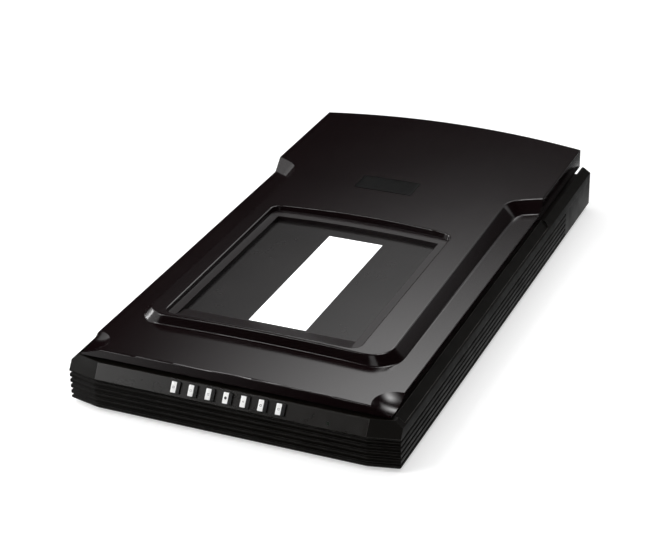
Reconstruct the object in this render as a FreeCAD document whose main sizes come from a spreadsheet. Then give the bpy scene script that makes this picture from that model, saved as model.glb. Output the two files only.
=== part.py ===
"""Flatbed scanner with a lit film tray in its lid.

Millimetres, +Z up, +Y to the rear, +X to the right of someone facing the buttons.  The origin
is on the table, under the middle of the whole machine with its lid closed.
"""
import FreeCAD, Part
import math
import os
from types import SimpleNamespace

import Sketcher
from FreeCAD import Placement, Rotation, Vector

NODE_FOLDER = "parts"
os.makedirs(NODE_FOLDER, exist_ok=True)
document = FreeCAD.newDocument("flatbed_scanner")

# ---------------------------------------------------------------------------------------------
# Driving dimensions.  "height" is above the table, "setback" is behind the base's front face.
# ---------------------------------------------------------------------------------------------
SIZES = {
    # base housing
    "base_width": 290, "base_length": 520,
    "foot_height": 3, "foot_radius": 9, "foot_side_inset": 26, "foot_end_inset": 45,
    "facet_run": 26.5, "facet_depth": 5.9,
    "parting_height": 30.6, "base_top_height": 42.6, "band_inset": 7.8,
    "side_band_height": 38, "side_band_inset": 6.8,
    "grip_depth": 2, "grip_front_gap": 12, "grip_rear_gap": 130, "grip_corner": 7, "grip_lip": 1.4,
    "case_wall": 3.4, "floor_thickness": 3, "bezel_wall": 3, "bezel_plate": 2.4,
    "bottom_chamfer": 2,
    "groove_count": 5, "groove_pitch": 5.2, "groove_depth": 1.6, "groove_width": 2.6,
    "groove_drop": 2.2, "groove_rear_gap": 82,
    "boss_radius": 4, "boss_side_inset": 14, "boss_front_gap": 60, "boss_rear_gap": 95, "boss_lap": 0.5,
    "screw_radius": 1.5, "screw_head_radius": 2.9, "screw_head_height": 2, "screw_clearance": 0.2,
    "screw_fit": 0.05, "screw_bite": 5, "screw_tip_gap": 1,
    # glass
    "window_side_band": 36, "window_setback": 38, "window_rear_band": 124, "window_corner": 3,
    "glass_thickness": 3, "glass_margin": 5, "glass_rear_margin": 16,
    "strip_length": 12, "strip_thickness": 0.3, "strip_gap": 2.5,
    # front panel, buttons and status light
    "panel_thickness": 2.5, "panel_gap": 0.25,
    "button_count": 7, "button_pitch": 15.25, "button_width": 7.6, "button_length": 9.5,
    "button_rise": 1.5, "button_clearance": 0.2, "button_travel": 0.8,
    "button_flange": 1.2, "button_flange_margin": 1.2, "button_flange_gap": 0.1, "button_flange_shy": 1,
    "stem_radius": 1.4, "stem_gap": 0.1,
    "board_depth": 9.4, "board_thickness": 1.6, "board_width": 12, "board_end_margin": 9,
    "switch_size": 6, "switch_height": 2.2, "switch_tip": 0.6, "switch_tip_radius": 1.7,
    "panel_post_radius": 2.4,
    "light_offset": 86, "light_drop": 2.9, "light_radius": 1.5, "light_proud": 0.2, "light_fit": 0.1,
    "light_base": 0.6, "light_base_height": 1.2,
    # boards and sockets at the rear
    "port_height": 5, "port_fit": 0.2, "port_depth": 15, "port_mouth_depth": 9,
    "data_wall": 1.4, "data_tongue": 5.2, "data_tongue_setback": 0.5, "power_bore": 3.3, "power_pin": 1,
    "adapter_bore": 4.8,
    "main_board_left": -42, "main_board_right": 76, "main_board_length": 59, "main_board_gap": 0.6,
    "standoff_radius": 2.5, "standoff_height": 3, "standoff_inset": 4,
    # hinge
    "hinge_spacing": 190, "hinge_setin": 10, "hinge_height": 52,
    "notch_depth": 18, "notch_side_margin": 8.7, "notch_plate": 2,
    "post_width": 14, "post_depth": 10, "post_clearance": 0.2, "post_foot_gap": 0.3, "sleeve_wall": 3,
    "knuckle_radius": 6, "pin_radius": 3, "pin_clearance": 0.05, "hinge_side_gap": 0.3,
    "knuckle_room": 1, "hinge_slot_gap": 1.5,
    "ear_thickness": 4, "bracket_plate": 1.6, "bracket_gap": 0.5, "bracket_flange": 9,
    # lid
    "lid_side_margin": 9.9, "lid_setback": 11.2, "lid_corner_setin": 4.3, "lid_overhang": 7,
    "lid_bottom_height": 44.6, "lid_edge_height": 51.3, "lid_crown": 3, "lid_wall": 2.7,
    "hump_front_height": 59.9, "hump_rear_height": 63.1, "hump_rise": 11.3, "hump_run": 10.5,
    "hump_length": 137, "hump_slant_run": 20, "hump_slant_depth": 13, "hump_bend_radius": 15.4,
    "plateau_border": 18.1, "plateau_setback": 64, "plateau_front_run": 4, "plateau_corner": 24,
    "ridge_round": 1.6, "valley_round": 1.6, "edge_round": 1.2,
    "scoop_radius": 38, "scoop_rim_radius": 20, "scoop_side_reach": 2.4, "scoop_front_inset": 8.8,
    "lid_corner_land": 30,
    # film tray in the lid
    "tray_border": 29.5, "tray_setback": 71.5, "tray_rear_gap": 229, "tray_bow": 4, "tray_corner": 9.5,
    "tray_offset": -4.5, "tray_rear_shelf": 4, "tray_front_shelf": 12.4, "tray_ramp_end_height": 55.4,
    "tray_floor_height": 54.6, "tray_ledge_height": 58.6, "tray_ledge_width": 6.5, "tray_wall_run": 1.3,
    "tray_rim_round": 1.2,
    "tray_panel_thickness": 2, "tray_panel_margin": 3,
    "light_strip_width": 52, "light_strip_front_gap": 96.2, "light_strip_rear_gap": 255.5,
    "light_strip_fit": 0.2, "light_strip_recess": 0.1,
    # lid inside
    "frame_thickness": 2.5, "frame_recess": 0.3, "frame_gap": 0.3,
    "hollow_corner": 6, "hump_hollow_inset": 14, "hump_hollow_roof": 2.6, "hump_hollow_lap": 14,
    "lid_boss_inset": 11, "lid_boss_front_gap": 110, "lid_boss_rear_gap": 100,
    "lid_screw_radius": 1.25, "lid_screw_head": 2.6, "lid_screw_head_height": 1.2,
    "lid_screw_recess": 0.3, "lid_screw_fit": 0.15,
    "guide_thickness": 3.6, "guide_side_margin": 5, "guide_gap": 0.4, "tube_radius": 1.3, "tube_gap": 1.2,
    "reflector_thickness": 0.8, "reflector_gap": 0.4, "reflector_top_gap": 0.1, "film_window_margin": 3,
    "mat_clearance": 0.3, "mat_edge_gap": 1,
    "bumper_radius": 4, "bumper_gap": 0.3, "bumper_inset": 13, "bumper_front_gap": 52,
    "bumper_rear_gap": 148,
    "inverter_left": 48, "inverter_rear_gap": 100, "inverter_width": 44, "inverter_length": 22,
    # scan carriage
    "carriage_length": 56, "carriage_side_gap": 24, "home_rear_gap": 130.5,
    "carriage_wall": 2.4, "carriage_top_height": 34, "carriage_deck_height": 20,
    "carriage_keel_height": 9, "keel_side_left": 61, "keel_side_right": 45,
    "cover_thickness": 1.2, "slit_setback": 4, "slit_length": 17,
    "rod_radius": 4, "rod_side_inset": 31, "rod_height": 14, "rod_clearance": 0.05, "bush_wall": 2,
    "bush_clearance": 0.05, "bush_length": 12, "bush_end_inset": 6, "saddle_wall": 2, "saddle_gap": 0.8,
    "rod_front_gap": 7, "rod_rear_gap": 62, "cradle_width": 14, "cradle_length": 8, "cradle_end_inset": 5,
    "clamp_roof": 2,
    "rail_side_inset": 29, "rail_width": 8, "rail_height": 17, "rail_clearance": 0.2, "rail_end_gap": 3,
    "shoe_width": 10, "shoe_end_inset": 10,
    "lamp_radius": 2, "lamp_setback": 7.5, "lamp_lift": 5.5, "trough_radius": 4.4, "trough_wall": 0.8,
    "low_mirror_setback": 14, "low_mirror_lift": 1.2, "keel_mirror_reach": 11,
    "high_mirror_setback": 10, "high_mirror_lift": 11, "deck_mirror_setback": 25, "deck_mirror_lift": 0.8,
    "deck_mirror_reach": 8, "trough_lip": 1, "sensor_board_width": 84, "sensor_board_height": 9,
    "sensor_width": 48, "sensor_height": 6, "sensor_reach": 2.5, "sensor_lift": 2,
    "mirror_thickness": 1.6, "lens_radius": 5, "lens_length": 13, "lens_offset": 8, "lens_setback": 26,
    "optics_gap": 0.3,
    # transport lock
    "lock_side_inset": 12, "lock_gap": 7, "lock_pin_radius": 2, "lock_pin_lift": 5.6,
    "lock_pin_room": 0.5, "lock_travel": 5, "lock_recess_depth": 1.6, "lock_fit": 0.2,
    "lock_plate_width": 11, "lock_plate_length": 18, "lock_plate_thickness": 1.3,
    "lock_neck_width": 5.6, "lock_neck_length": 8, "lock_head_width": 10, "lock_head_length": 9,
    # belt drive
    "belt_side_inset": 49, "belt_radius": 6, "belt_thickness": 1.2, "belt_width": 4, "belt_height": 8.6,
    "belt_fit": 0.05, "pulley_drum_gap": 0.2, "pulley_flange": 0.7, "pulley_lip": 1.6,
    "pulley_side_gap": 0.2,
    "clamp_wall": 2, "clamp_fit": 0.3, "clamp_length": 16, "clamp_setback": 20, "clamp_foot_gap": 1.4,
    "idler_front_gap": 17, "drive_rear_gap": 44.5,
    "gear_module": 1, "gear_teeth": 39, "pinion_teeth": 13, "gear_thickness": 3.5, "gear_backlash": 0.2,
    "gear_roof_gap": 0.6, "hub_radius": 5, "hub_foot_gap": 1,
    "spigot_radius": 5, "spigot_height": 0.8,
    "axle_radius": 2, "axle_clearance": 0.06, "motor_radius": 17.5, "motor_height": 15,
    "shaft_radius": 1.5, "shaft_clearance": 0.06, "shaft_reach": 6, "collar_height": 1.2, "collar_radius": 5,
    "motor_plate_thickness": 1.5, "motor_plate_height": 18.6, "motor_post_radius": 3,
    "motor_plate_tongue": 15, "motor_plate_step": 9, "motor_plate_side": 6, "motor_plate_near": 4.5,
    "motor_plate_end": 10, "motor_plate_far": 8,
    "idler_base_width": 16, "idler_base_length": 17, "idler_base_thickness": 1.4, "idler_pin_reach": 2,
    "spring_length": 12, "spring_radius": 2, "spring_wire": 0.35, "spring_turns": 5, "spring_gap": 0.1,
    "spring_lift": 0.6, "spring_setback": 10,
    "spring_tab_height": 6, "spring_post_length": 3,
}

sheet = document.addObject("Spreadsheet::Sheet", "Sizes")
for row, (name, number) in enumerate(SIZES.items(), start=1):
    sheet.set("A%d" % row, name)
    sheet.set("B%d" % row, str(number))
    sheet.setAlias("B%d" % row, name)
document.recompute()


class Size:
    """A number together with the spreadsheet expression it comes from."""

    def __init__(self, value, text):
        self.value = value
        self.text = text

    def _with(self, other, sign, result):
        return Size(result, "(%s %s %s)" % (self.text, sign, other.text))

    def __add__(self, other):
        other = as_size(other)
        return self._with(other, "+", self.value + other.value)

    def __sub__(self, other):
        other = as_size(other)
        return self._with(other, "-", self.value - other.value)

    def __mul__(self, other):
        other = as_size(other)
        return self._with(other, "*", self.value * other.value)

    def __truediv__(self, other):
        other = as_size(other)
        return self._with(other, "/", self.value / other.value)

    def __neg__(self):
        return as_size(0) - self

    def __radd__(self, other):
        return as_size(other) + self

    def __rsub__(self, other):
        return as_size(other) - self

    def __rmul__(self, other):
        return as_size(other) * self

    def __rtruediv__(self, other):
        return as_size(other) / self


def as_size(number):
    return number if isinstance(number, Size) else Size(float(number), "(%.7g)" % number)


def root(size):
    return Size(math.sqrt(size.value), "sqrt(%s)" % size.text)


def angle_of(rise, run):
    return Size(math.degrees(math.atan2(rise.value, run.value)), "atan2(%s; %s)" % (rise.text, run.text))


def bow_radius(chord, sagitta):
    """Radius of the arc that rises by sagitta in the middle of chord."""
    return (chord * chord / 4 + sagitta * sagitta) / (2 * sagitta)


s = SimpleNamespace(**{name: Size(float(number), "Sizes." + name) for name, number in SIZES.items()})

# Widths and lengths that are left between two edges
s.window_width = s.base_width - 2 * s.window_side_band
s.window_length = s.base_length - s.window_setback - s.window_rear_band
s.lid_width = s.base_width - 2 * s.lid_side_margin
s.plateau_width = s.lid_width - 2 * s.plateau_border
s.tray_width = s.plateau_width - 2 * s.tray_border
s.carriage_half_width = s.base_width / 2 - s.carriage_side_gap
s.keel_left = s.keel_side_left - s.base_width / 2
s.keel_right = s.base_width / 2 - s.keel_side_right
s.belt_line = s.belt_side_inset - s.base_width / 2


# ---------------------------------------------------------------------------------------------
# Modelling helpers
# ---------------------------------------------------------------------------------------------
def bind(thing, **sizes):
    """Set properties of a document object from sizes, keeping the link to the spreadsheet."""
    for property_name, size in sizes.items():
        thing.setExpression(property_name, as_size(size).text)


def locate(thing, x=0, y=0, z=0, property_name="Placement"):
    for axis, size in zip("xyz", (x, y, z)):
        if isinstance(size, Size) or size:
            thing.setExpression("%s.Base.%s" % (property_name, axis), as_size(size).text)


def new_body(label):
    body = document.addObject("PartDesign::Body", label)
    body.Label = label
    return body


def new_sketch(body, name, plane="XY_Plane", offset=0, tilt=None, foot=(0, 0)):
    """A sketch on one of the body's origin planes.

    offset lifts it along the plane's normal; a tilted sketch turns by tilt about its own X axis
    through the point foot = (y, z).
    """
    sketch = body.newObject("Sketcher::SketchObject", name)
    base_plane = [item for item in body.Origin.OriginFeatures if item.Role == plane][0]
    sketch.AttachmentSupport = [(base_plane, "")]
    sketch.MapMode = "FlatFace"
    if tilt is None:
        locate(sketch, z=offset, property_name="AttachmentOffset")
    else:
        sketch.AttachmentOffset = Placement(Vector(0, 0, 0), Rotation(Vector(1, 0, 0), tilt.value))
        sketch.setExpression("AttachmentOffset.Rotation.Angle", tilt.text)
        locate(sketch, y=foot[0], z=foot[1], property_name="AttachmentOffset")
    return sketch


def pin_point(sketch, geometry, point, x, y):
    """Hold one point of a sketch at (x, y) with two driven distances."""
    for kind, size in (("DistanceX", as_size(x)), ("DistanceY", as_size(y))):
        index = sketch.addConstraint(Sketcher.Constraint(kind, -1, 1, geometry, point, size.value))
        sketch.setExpression("Constraints[%d]" % index, size.text)


def hold_radius(sketch, geometry, radius):
    index = sketch.addConstraint(Sketcher.Constraint("Radius", geometry, radius.value))
    sketch.setExpression("Constraints[%d]" % index, radius.text)


def arc_between(start, end, radius):
    """Minor arc from start to end: centre on the left of travel, or on the right if radius < 0."""
    chord = end - start
    left = Vector(-chord.y, chord.x, 0).normalize()
    height = math.sqrt(max(radius ** 2 - chord.Length ** 2 / 4, 0))
    centre = (start + end) * 0.5 + left * math.copysign(height, radius)
    first, last = (start, end) if radius > 0 else (end, start)
    angles = [math.atan2(p.y - centre.y, p.x - centre.x) for p in (first, last)]
    return Part.ArcOfCircle(Part.Circle(centre, Vector(0, 0, 1), abs(radius)), *angles)


def draw(sketch, corners, closed=True):
    """Draw a path through corners (x, y) or (x, y, r), where r makes the next side an arc."""
    corners = [tuple(as_size(number) for number in corner) for corner in corners]
    points = [Vector(corner[0].value, corner[1].value, 0) for corner in corners]
    side_count = len(corners) if closed else len(corners) - 1
    first = sketch.GeometryCount
    ends = []
    for number in range(side_count):
        start, end = points[number], points[(number + 1) % len(points)]
        radius = corners[number][2] if len(corners[number]) > 2 else None
        if radius is None:
            sketch.addGeometry(Part.LineSegment(start, end), False)
            ends.append((1, 2))
        else:
            sketch.addGeometry(arc_between(start, end, radius.value), False)
            ends.append((1, 2) if radius.value > 0 else (2, 1))
    for number in range(side_count):
        start_point, end_point = ends[number]
        pin_point(sketch, first + number, start_point, *corners[number][:2])
        if closed or number + 1 < side_count:
            follower = (number + 1) % side_count
            sketch.addConstraint(Sketcher.Constraint(
                "Coincident", first + number, end_point, first + follower, ends[follower][0]))
        else:
            pin_point(sketch, first + number, end_point, *corners[number + 1][:2])
        if len(corners[number]) > 2:
            radius = corners[number][2]
            hold_radius(sketch, first + number, radius if radius.value > 0 else -radius)


def draw_box(sketch, left, front, right, rear, corner=None):
    """Draw a rectangle, with round corners if a corner radius is given."""
    if corner is None:
        draw(sketch, [(left, front), (right, front), (right, rear), (left, rear)])
        return
    draw(sketch, [(left + corner, front), (right - corner, front, corner),
                  (right, front + corner), (right, rear - corner, corner),
                  (right - corner, rear), (left + corner, rear, corner),
                  (left, rear - corner), (left, front + corner, corner)])


def draw_circle(sketch, x, y, radius):
    x, y, radius = as_size(x), as_size(y), as_size(radius)
    circle = Part.Circle(Vector(x.value, y.value, 0), Vector(0, 0, 1), radius.value)
    geometry = sketch.addGeometry(circle, False)
    pin_point(sketch, geometry, 3, x, y)
    hold_radius(sketch, geometry, radius)


def pad(body, sketch, length, up=True):
    feature = body.newObject("PartDesign::Pad", sketch.Name + "_pad")
    feature.Profile = (sketch, [""])
    feature.Reversed = not up
    bind(feature, Length=length)
    return feature


def pocket(body, sketch, length, down=True):
    """Cut along the sketch's normal, against it (down) or with it, over the given length."""
    feature = body.newObject("PartDesign::Pocket", sketch.Name + "_pocket")
    feature.Profile = (sketch, [""])
    feature.Reversed = not down
    bind(feature, Length=length)
    return feature


def loft(body, sketches, subtract=False):
    kind = "PartDesign::SubtractiveLoft" if subtract else "PartDesign::AdditiveLoft"
    feature = body.newObject(kind, sketches[0].Name + "_loft")
    feature.Profile = (sketches[0], [""])
    feature.Sections = [(section, [""]) for section in sketches[1:]]
    feature.Ruled = True
    return feature


def repeat_along(body, feature, axis, length, count):
    """Linear pattern of a feature along the body's X or Z axis."""
    pattern = body.newObject("PartDesign::LinearPattern", feature.Name + "_row")
    pattern.Originals = [feature]
    pattern.Direction = ([item for item in body.Origin.OriginFeatures if item.Role == axis][0], [""])
    bind(pattern, Length=length)
    pattern.Occurrences = count
    body.Tip = pattern
    return pattern


def round_edges(body, radius, chosen, kind="PartDesign::Fillet"):
    """Round or chamfer the edges of the body's last feature for which chosen(edge) is true."""
    document.recompute()
    base = body.Tip
    names = ["Edge%d" % (number + 1) for number, edge in enumerate(base.Shape.Edges) if chosen(edge)]
    if not names:
        raise RuntimeError("no edge to round on " + body.Label)
    feature = body.newObject(kind, "%s_%s" % (body.Name, kind.split("::")[1].lower()))
    feature.Base = (base, names)
    bind(feature, **{"Radius" if kind.endswith("Fillet") else "Size": radius})
    body.Tip = feature
    return feature


def close_to(number, target, tolerance=0.05):
    return abs(number - as_size(target).value) < tolerance


def block(label, left, front, bottom, width, length, height):
    """A plain box given by its low corner and its three sizes."""
    box = document.addObject("Part::Box", label)
    box.Label = label
    bind(box, Length=width, Width=length, Height=height)
    locate(box, left, front, bottom)
    return box


def grown(box, margin):
    """A plan (left, front, right, rear) made larger by margin on all sides."""
    left, near, right, far = box
    return left - margin, near - margin, right + margin, far + margin


def plate_of(label, box, bottom, height):
    left, near, right, far = box
    return block(label, left, near, bottom, right - left, far - near, height)


AXIS_TURN = {"Z": Rotation(), "Y": Rotation(Vector(1, 0, 0), -90), "X": Rotation(Vector(0, 1, 0), 90)}


def rod(label, radius, length, x, y, z, axis="Z"):
    """A cylinder that starts at (x, y, z) and runs along +X, +Y or +Z."""
    cylinder = document.addObject("Part::Cylinder", label)
    cylinder.Label = label
    cylinder.Placement = Placement(Vector(0, 0, 0), AXIS_TURN[axis])
    bind(cylinder, Radius=radius, Height=length)
    locate(cylinder, x, y, z)
    return cylinder


def fuse(label, *pieces):
    union = document.addObject("Part::MultiFuse", label)
    union.Label = label
    union.Shapes = list(pieces)
    return union


def cut(label, piece, *tools):
    result = document.addObject("Part::Cut", label)
    result.Label = label
    result.Base = piece
    result.Tool = tools[0] if len(tools) == 1 else fuse(label + "_tools", *tools)
    return result


def group(label, *pieces):
    """Several separate solids that share one node."""
    compound = document.addObject("Part::Compound", label)
    compound.Label = label
    compound.Links = list(pieces)
    return compound


nodes = []


def keep(piece):
    """Mark a finished piece as one of the scanner's nodes."""
    nodes.append(piece)
    return piece


# ---------------------------------------------------------------------------------------------
# Places that several pieces share
# ---------------------------------------------------------------------------------------------
half_width = s.base_width / 2
front = -(s.base_length + s.lid_overhang) / 2
rear = front + s.base_length
floor_top = s.foot_height + s.floor_thickness
plate_bottom = s.base_top_height - s.bezel_plate
glass_bottom = plate_bottom - s.glass_thickness

facet_slope = s.facet_depth / s.facet_run
facet_stretch = root(1 + facet_slope * facet_slope)
band_rise = s.base_top_height - s.parting_height
band_length = root(s.band_inset * s.band_inset + band_rise * band_rise)
band_angle = angle_of(band_rise, s.band_inset)

hinge_y = rear - s.hinge_setin
lid_front = front + s.lid_setback
lid_half = s.lid_width / 2
frame_bottom = s.lid_bottom_height + s.frame_recess
frame_top = frame_bottom + s.frame_thickness
tray_panel_bottom = s.tray_floor_height - s.tray_panel_thickness

home = rear - s.home_rear_gap
tail = home + s.carriage_length
keel_floor = s.carriage_keel_height + s.carriage_wall
deck_floor = s.carriage_deck_height + s.carriage_wall
rod_left = s.rod_side_inset - half_width
rod_start, rod_end = front + s.rod_front_gap, rear - s.rod_rear_gap
rail_middle = half_width - s.rail_side_inset
drive_y = rear - s.drive_rear_gap
idler_y = front + s.idler_front_gap
gear_bottom = s.motor_plate_height - s.gear_roof_gap - s.gear_thickness
gear_spread = s.gear_module * (s.gear_teeth + s.pinion_teeth) / 2
motor_x = s.belt_line + gear_spread
spring_start = idler_y + s.spring_setback
spring_end = spring_start + s.spring_length
hump_front = rear - s.hump_length
tray_front, tray_rear = front + s.tray_setback, rear - s.tray_rear_gap

THROUGH = 1  # how far a cutting tool reaches past the face it opens


def base_outline(inset, front_inset=None):
    """Plan of the base, counter-clockwise: a rectangle whose front corners are shallow facets."""
    if front_inset is None:
        front_inset = inset
    mitre = front_inset * (facet_stretch - 1) / facet_slope
    side = half_width - inset
    corner_x = half_width - s.facet_run - mitre
    front_y = front + front_inset
    side_y = front + s.facet_depth + front_inset * facet_stretch - inset * facet_slope
    return [(-corner_x, front_y), (corner_x, front_y), (side, side_y),
            (side, rear - inset), (-side, rear - inset), (-side, side_y)]


# ---------------------------------------------------------------------------------------------
# Base housing
# ---------------------------------------------------------------------------------------------
SIDES = (-1, 1)


def down_both_sides(inset, front_gap, rear_gap):
    """Three places on each side of the machine: near the front, near the rear and halfway."""
    first, last = front + front_gap, rear - rear_gap
    return [(side * inset, y) for y in (first, (first + last) / 2, last) for side in SIDES]


case_screw_places = down_both_sides(half_width - s.boss_side_inset, s.boss_front_gap, s.boss_rear_gap)
lid_screw_places = down_both_sides(lid_half - s.lid_boss_inset, s.lid_boss_front_gap, s.lid_boss_rear_gap)

port_bottom = floor_top + s.port_height
PORTS = {
    "power": {"centre": 60, "width": 10, "height": 11},
    "data": {"centre": 35, "width": 12.4, "height": 11},
    "adapter": {"centre": 8, "width": 14, "height": 12},
}
# Left edge, distance back from the board's far edge, side and height of each chip.
CHIPS = ((-20, 43, 16, 1.6), (6, 45, 12, 1.4), (30, 49, 20, 2), (62, 33, 9, 6))
lock_x = s.keel_right - s.lock_side_inset
lock_y = tail + s.lock_gap
lock_pin_height = s.carriage_keel_height + s.lock_pin_lift


def make_base_case():
    """Lower housing: grooved walls, floor, screw bosses, hinge sleeves and the rear ports."""
    body = new_body("base_case")
    outline = new_sketch(body, "case_outline", offset=s.foot_height)
    draw(outline, base_outline(as_size(0)))
    pad(body, outline, s.parting_height - s.foot_height)
    inside = new_sketch(body, "case_inside", offset=s.parting_height)
    draw(inside, base_outline(s.case_wall))
    pocket(body, inside, s.parting_height - floor_top)

    posts = new_sketch(body, "case_posts", offset=s.foot_height)
    for x, y in case_screw_places:
        draw_circle(posts, x, y, s.boss_radius)
    pad(body, posts, s.parting_height - s.foot_height)
    make_hinge_sleeves(body)
    make_drive_supports(body)

    shanks = new_sketch(body, "case_screw_holes", offset=s.foot_height)
    for x, y in case_screw_places:
        draw_circle(shanks, x, y, s.screw_radius + s.screw_clearance)
    pocket(body, shanks, s.parting_height, down=False)
    heads = new_sketch(body, "case_screw_seats", offset=s.foot_height)
    for x, y in case_screw_places:
        draw_circle(heads, x, y, s.screw_head_radius + s.screw_clearance)
    pocket(body, heads, s.screw_head_height + s.screw_clearance, down=False)

    ports = new_sketch(body, "case_ports", plane="XZ_Plane", offset=-(rear + THROUGH))
    for port in PORTS.values():
        draw_box(ports, as_size(port["centre"]) - port["width"] / 2, port_bottom,
                 as_size(port["centre"]) + port["width"] / 2, port_bottom + port["height"])
    pocket(body, ports, s.case_wall + 2 * THROUGH, down=False)
    make_lock_slot(body)

    round_edges(body, s.bottom_chamfer, kind="PartDesign::Chamfer", chosen=lambda edge: (
        close_to(edge.BoundBox.ZMax, s.foot_height) and on_base_rim(edge)))
    cut_grooves(body)
    return keep(body)


def on_base_rim(edge):
    """True for an edge that lies on the outer faces of the base."""
    box, near = edge.BoundBox, s.case_wall.value / 2
    on_side = max(abs(box.XMin), abs(box.XMax)) > half_width.value - near
    return on_side or box.YMin < front.value + near or box.YMax > rear.value - near


def cut_grooves(body):
    """Five V grooves that run round both sides, the facets and the front."""
    top_groove = s.parting_height - s.groove_drop
    groove_end = rear - s.groove_rear_gap
    route = new_sketch(body, "groove_route", offset=top_groove)
    draw(route, [(-half_width, groove_end), (-half_width, front + s.facet_depth),
                 (-(half_width - s.facet_run), front), (half_width - s.facet_run, front),
                 (half_width, front + s.facet_depth), (half_width, groove_end)], closed=False)
    section = new_sketch(body, "groove_section", plane="XZ_Plane", offset=-groove_end)
    overshoot = s.groove_width / 4
    reach = s.groove_depth / 2
    draw(section, [(-half_width + s.groove_depth, top_groove),
                   (-half_width - reach, top_groove + s.groove_width / 2 + overshoot),
                   (-half_width - reach, top_groove - s.groove_width / 2 - overshoot)])
    groove = body.newObject("PartDesign::SubtractivePipe", "groove")
    groove.Profile = (section, [""])
    groove.Spine = (route, [""])
    groove.Transition = "Right corner"
    document.recompute()
    depth = (s.groove_count - 1) * s.groove_pitch
    repeat_along(body, groove, "Z_Axis", depth, SIZES["groove_count"]).Reversed = True


def make_hinge_sleeves(body):
    """Two upright sleeves in which the lid's hinge posts rise and fall."""
    outer_x = s.post_width / 2 + s.post_clearance + s.sleeve_wall
    outer_y = s.post_depth / 2 + s.post_clearance + s.sleeve_wall
    sleeves = new_sketch(body, "sleeves", offset=s.foot_height)
    wells = new_sketch(body, "sleeve_wells", offset=s.parting_height)
    for side in SIDES:
        centre = side * s.hinge_spacing / 2
        draw_box(sleeves, centre - outer_x, hinge_y - outer_y, centre + outer_x, hinge_y + outer_y)
        draw_box(wells, centre - outer_x + s.sleeve_wall, hinge_y - outer_y + s.sleeve_wall,
                 centre + outer_x - s.sleeve_wall, hinge_y + outer_y - s.sleeve_wall)
    pad(body, sleeves, s.parting_height - s.foot_height)
    pocket(body, wells, s.parting_height - floor_top)


def make_drive_supports(body):
    """Floor posts for the motor plate, the belt pulleys, the boards, the rod and the rail."""
    posts = new_sketch(body, "drive_posts", offset=s.foot_height)
    for x, y in motor_plate_posts():
        draw_circle(posts, x, y, s.motor_post_radius)
    pad(body, posts, s.motor_plate_height - s.foot_height)

    spigots = new_sketch(body, "drive_spigot", offset=s.foot_height)
    draw_circle(spigots, s.belt_line, drive_y, s.spigot_radius)
    pad(body, spigots, floor_top + s.spigot_height - s.foot_height)

    anchor = new_sketch(body, "spring_anchor", offset=s.foot_height)
    draw_box(anchor, s.belt_line - s.spring_radius, spring_end, s.belt_line + s.spring_radius,
             spring_end + s.spring_post_length)
    pad(body, anchor, floor_top + s.spring_tab_height - s.foot_height)

    cradles = new_sketch(body, "rod_cradles", offset=s.foot_height)
    for y in rod_seats():
        draw_box(cradles, rod_left - s.cradle_width / 2, y - s.cradle_length / 2,
                 rod_left + s.cradle_width / 2, y + s.cradle_length / 2)
    pad(body, cradles, s.rod_height - s.foot_height)
    groove = new_sketch(body, "rod_groove", plane="XZ_Plane", offset=-rod_start)
    draw_circle(groove, rod_left, s.rod_height, s.rod_radius)
    pocket(body, groove, rod_end - rod_start, down=True)

    standoffs = new_sketch(body, "board_standoffs", offset=s.foot_height)
    for x, y in board_corners():
        draw_circle(standoffs, x, y, s.standoff_radius)
    pad(body, standoffs, floor_top + s.standoff_height - s.foot_height)


def rod_seats():
    return rod_start + s.cradle_end_inset, rod_end - s.cradle_end_inset


def motor_plate_posts():
    """One post beside the gear and two beyond the motor, one of them at each end of the plate."""
    left, near, right, far = motor_plate_box()
    inset = s.motor_post_radius + 1
    return (left + inset, drive_y - inset), (right - inset, near + inset), (right - inset, far - inset)


def motor_plate_box():
    left = s.belt_line - s.hub_radius - s.motor_radius - s.motor_plate_side
    right = motor_x + s.motor_radius + s.motor_plate_end
    near = drive_y - s.motor_radius - s.motor_plate_near
    return left, near, right, drive_y + s.motor_radius + s.motor_plate_far


def main_board_box():
    far = rear - s.case_wall - s.main_board_gap
    return as_size(s.main_board_left), far - s.main_board_length, as_size(s.main_board_right), far


def board_corners():
    left, near, right, far = grown(main_board_box(), -s.standoff_inset)
    return [(x, y) for x in (left, right) for y in (near, far)]


def make_lock_slot(body):
    """Recess and slot in the floor for the carriage lock."""
    recess = new_sketch(body, "lock_recess", offset=s.foot_height)
    room = s.lock_plate_width / 2 + s.lock_fit
    draw_box(recess, lock_x - room, lock_y - s.lock_travel - s.lock_fit, lock_x + room,
             lock_y + s.lock_plate_length + s.lock_fit)
    pocket(body, recess, s.lock_recess_depth, down=False)
    slot = new_sketch(body, "lock_slot", offset=s.foot_height)
    room = s.lock_neck_width / 2 + s.lock_fit
    neck_y = lock_neck_start()
    draw_box(slot, lock_x - room, neck_y - s.lock_travel - s.lock_fit, lock_x + room,
             neck_y + s.lock_neck_length + s.lock_fit)
    pocket(body, slot, s.floor_thickness + THROUGH, down=False)


def lock_neck_start():
    return lock_y + (s.lock_plate_length - s.lock_neck_length) / 2


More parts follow.
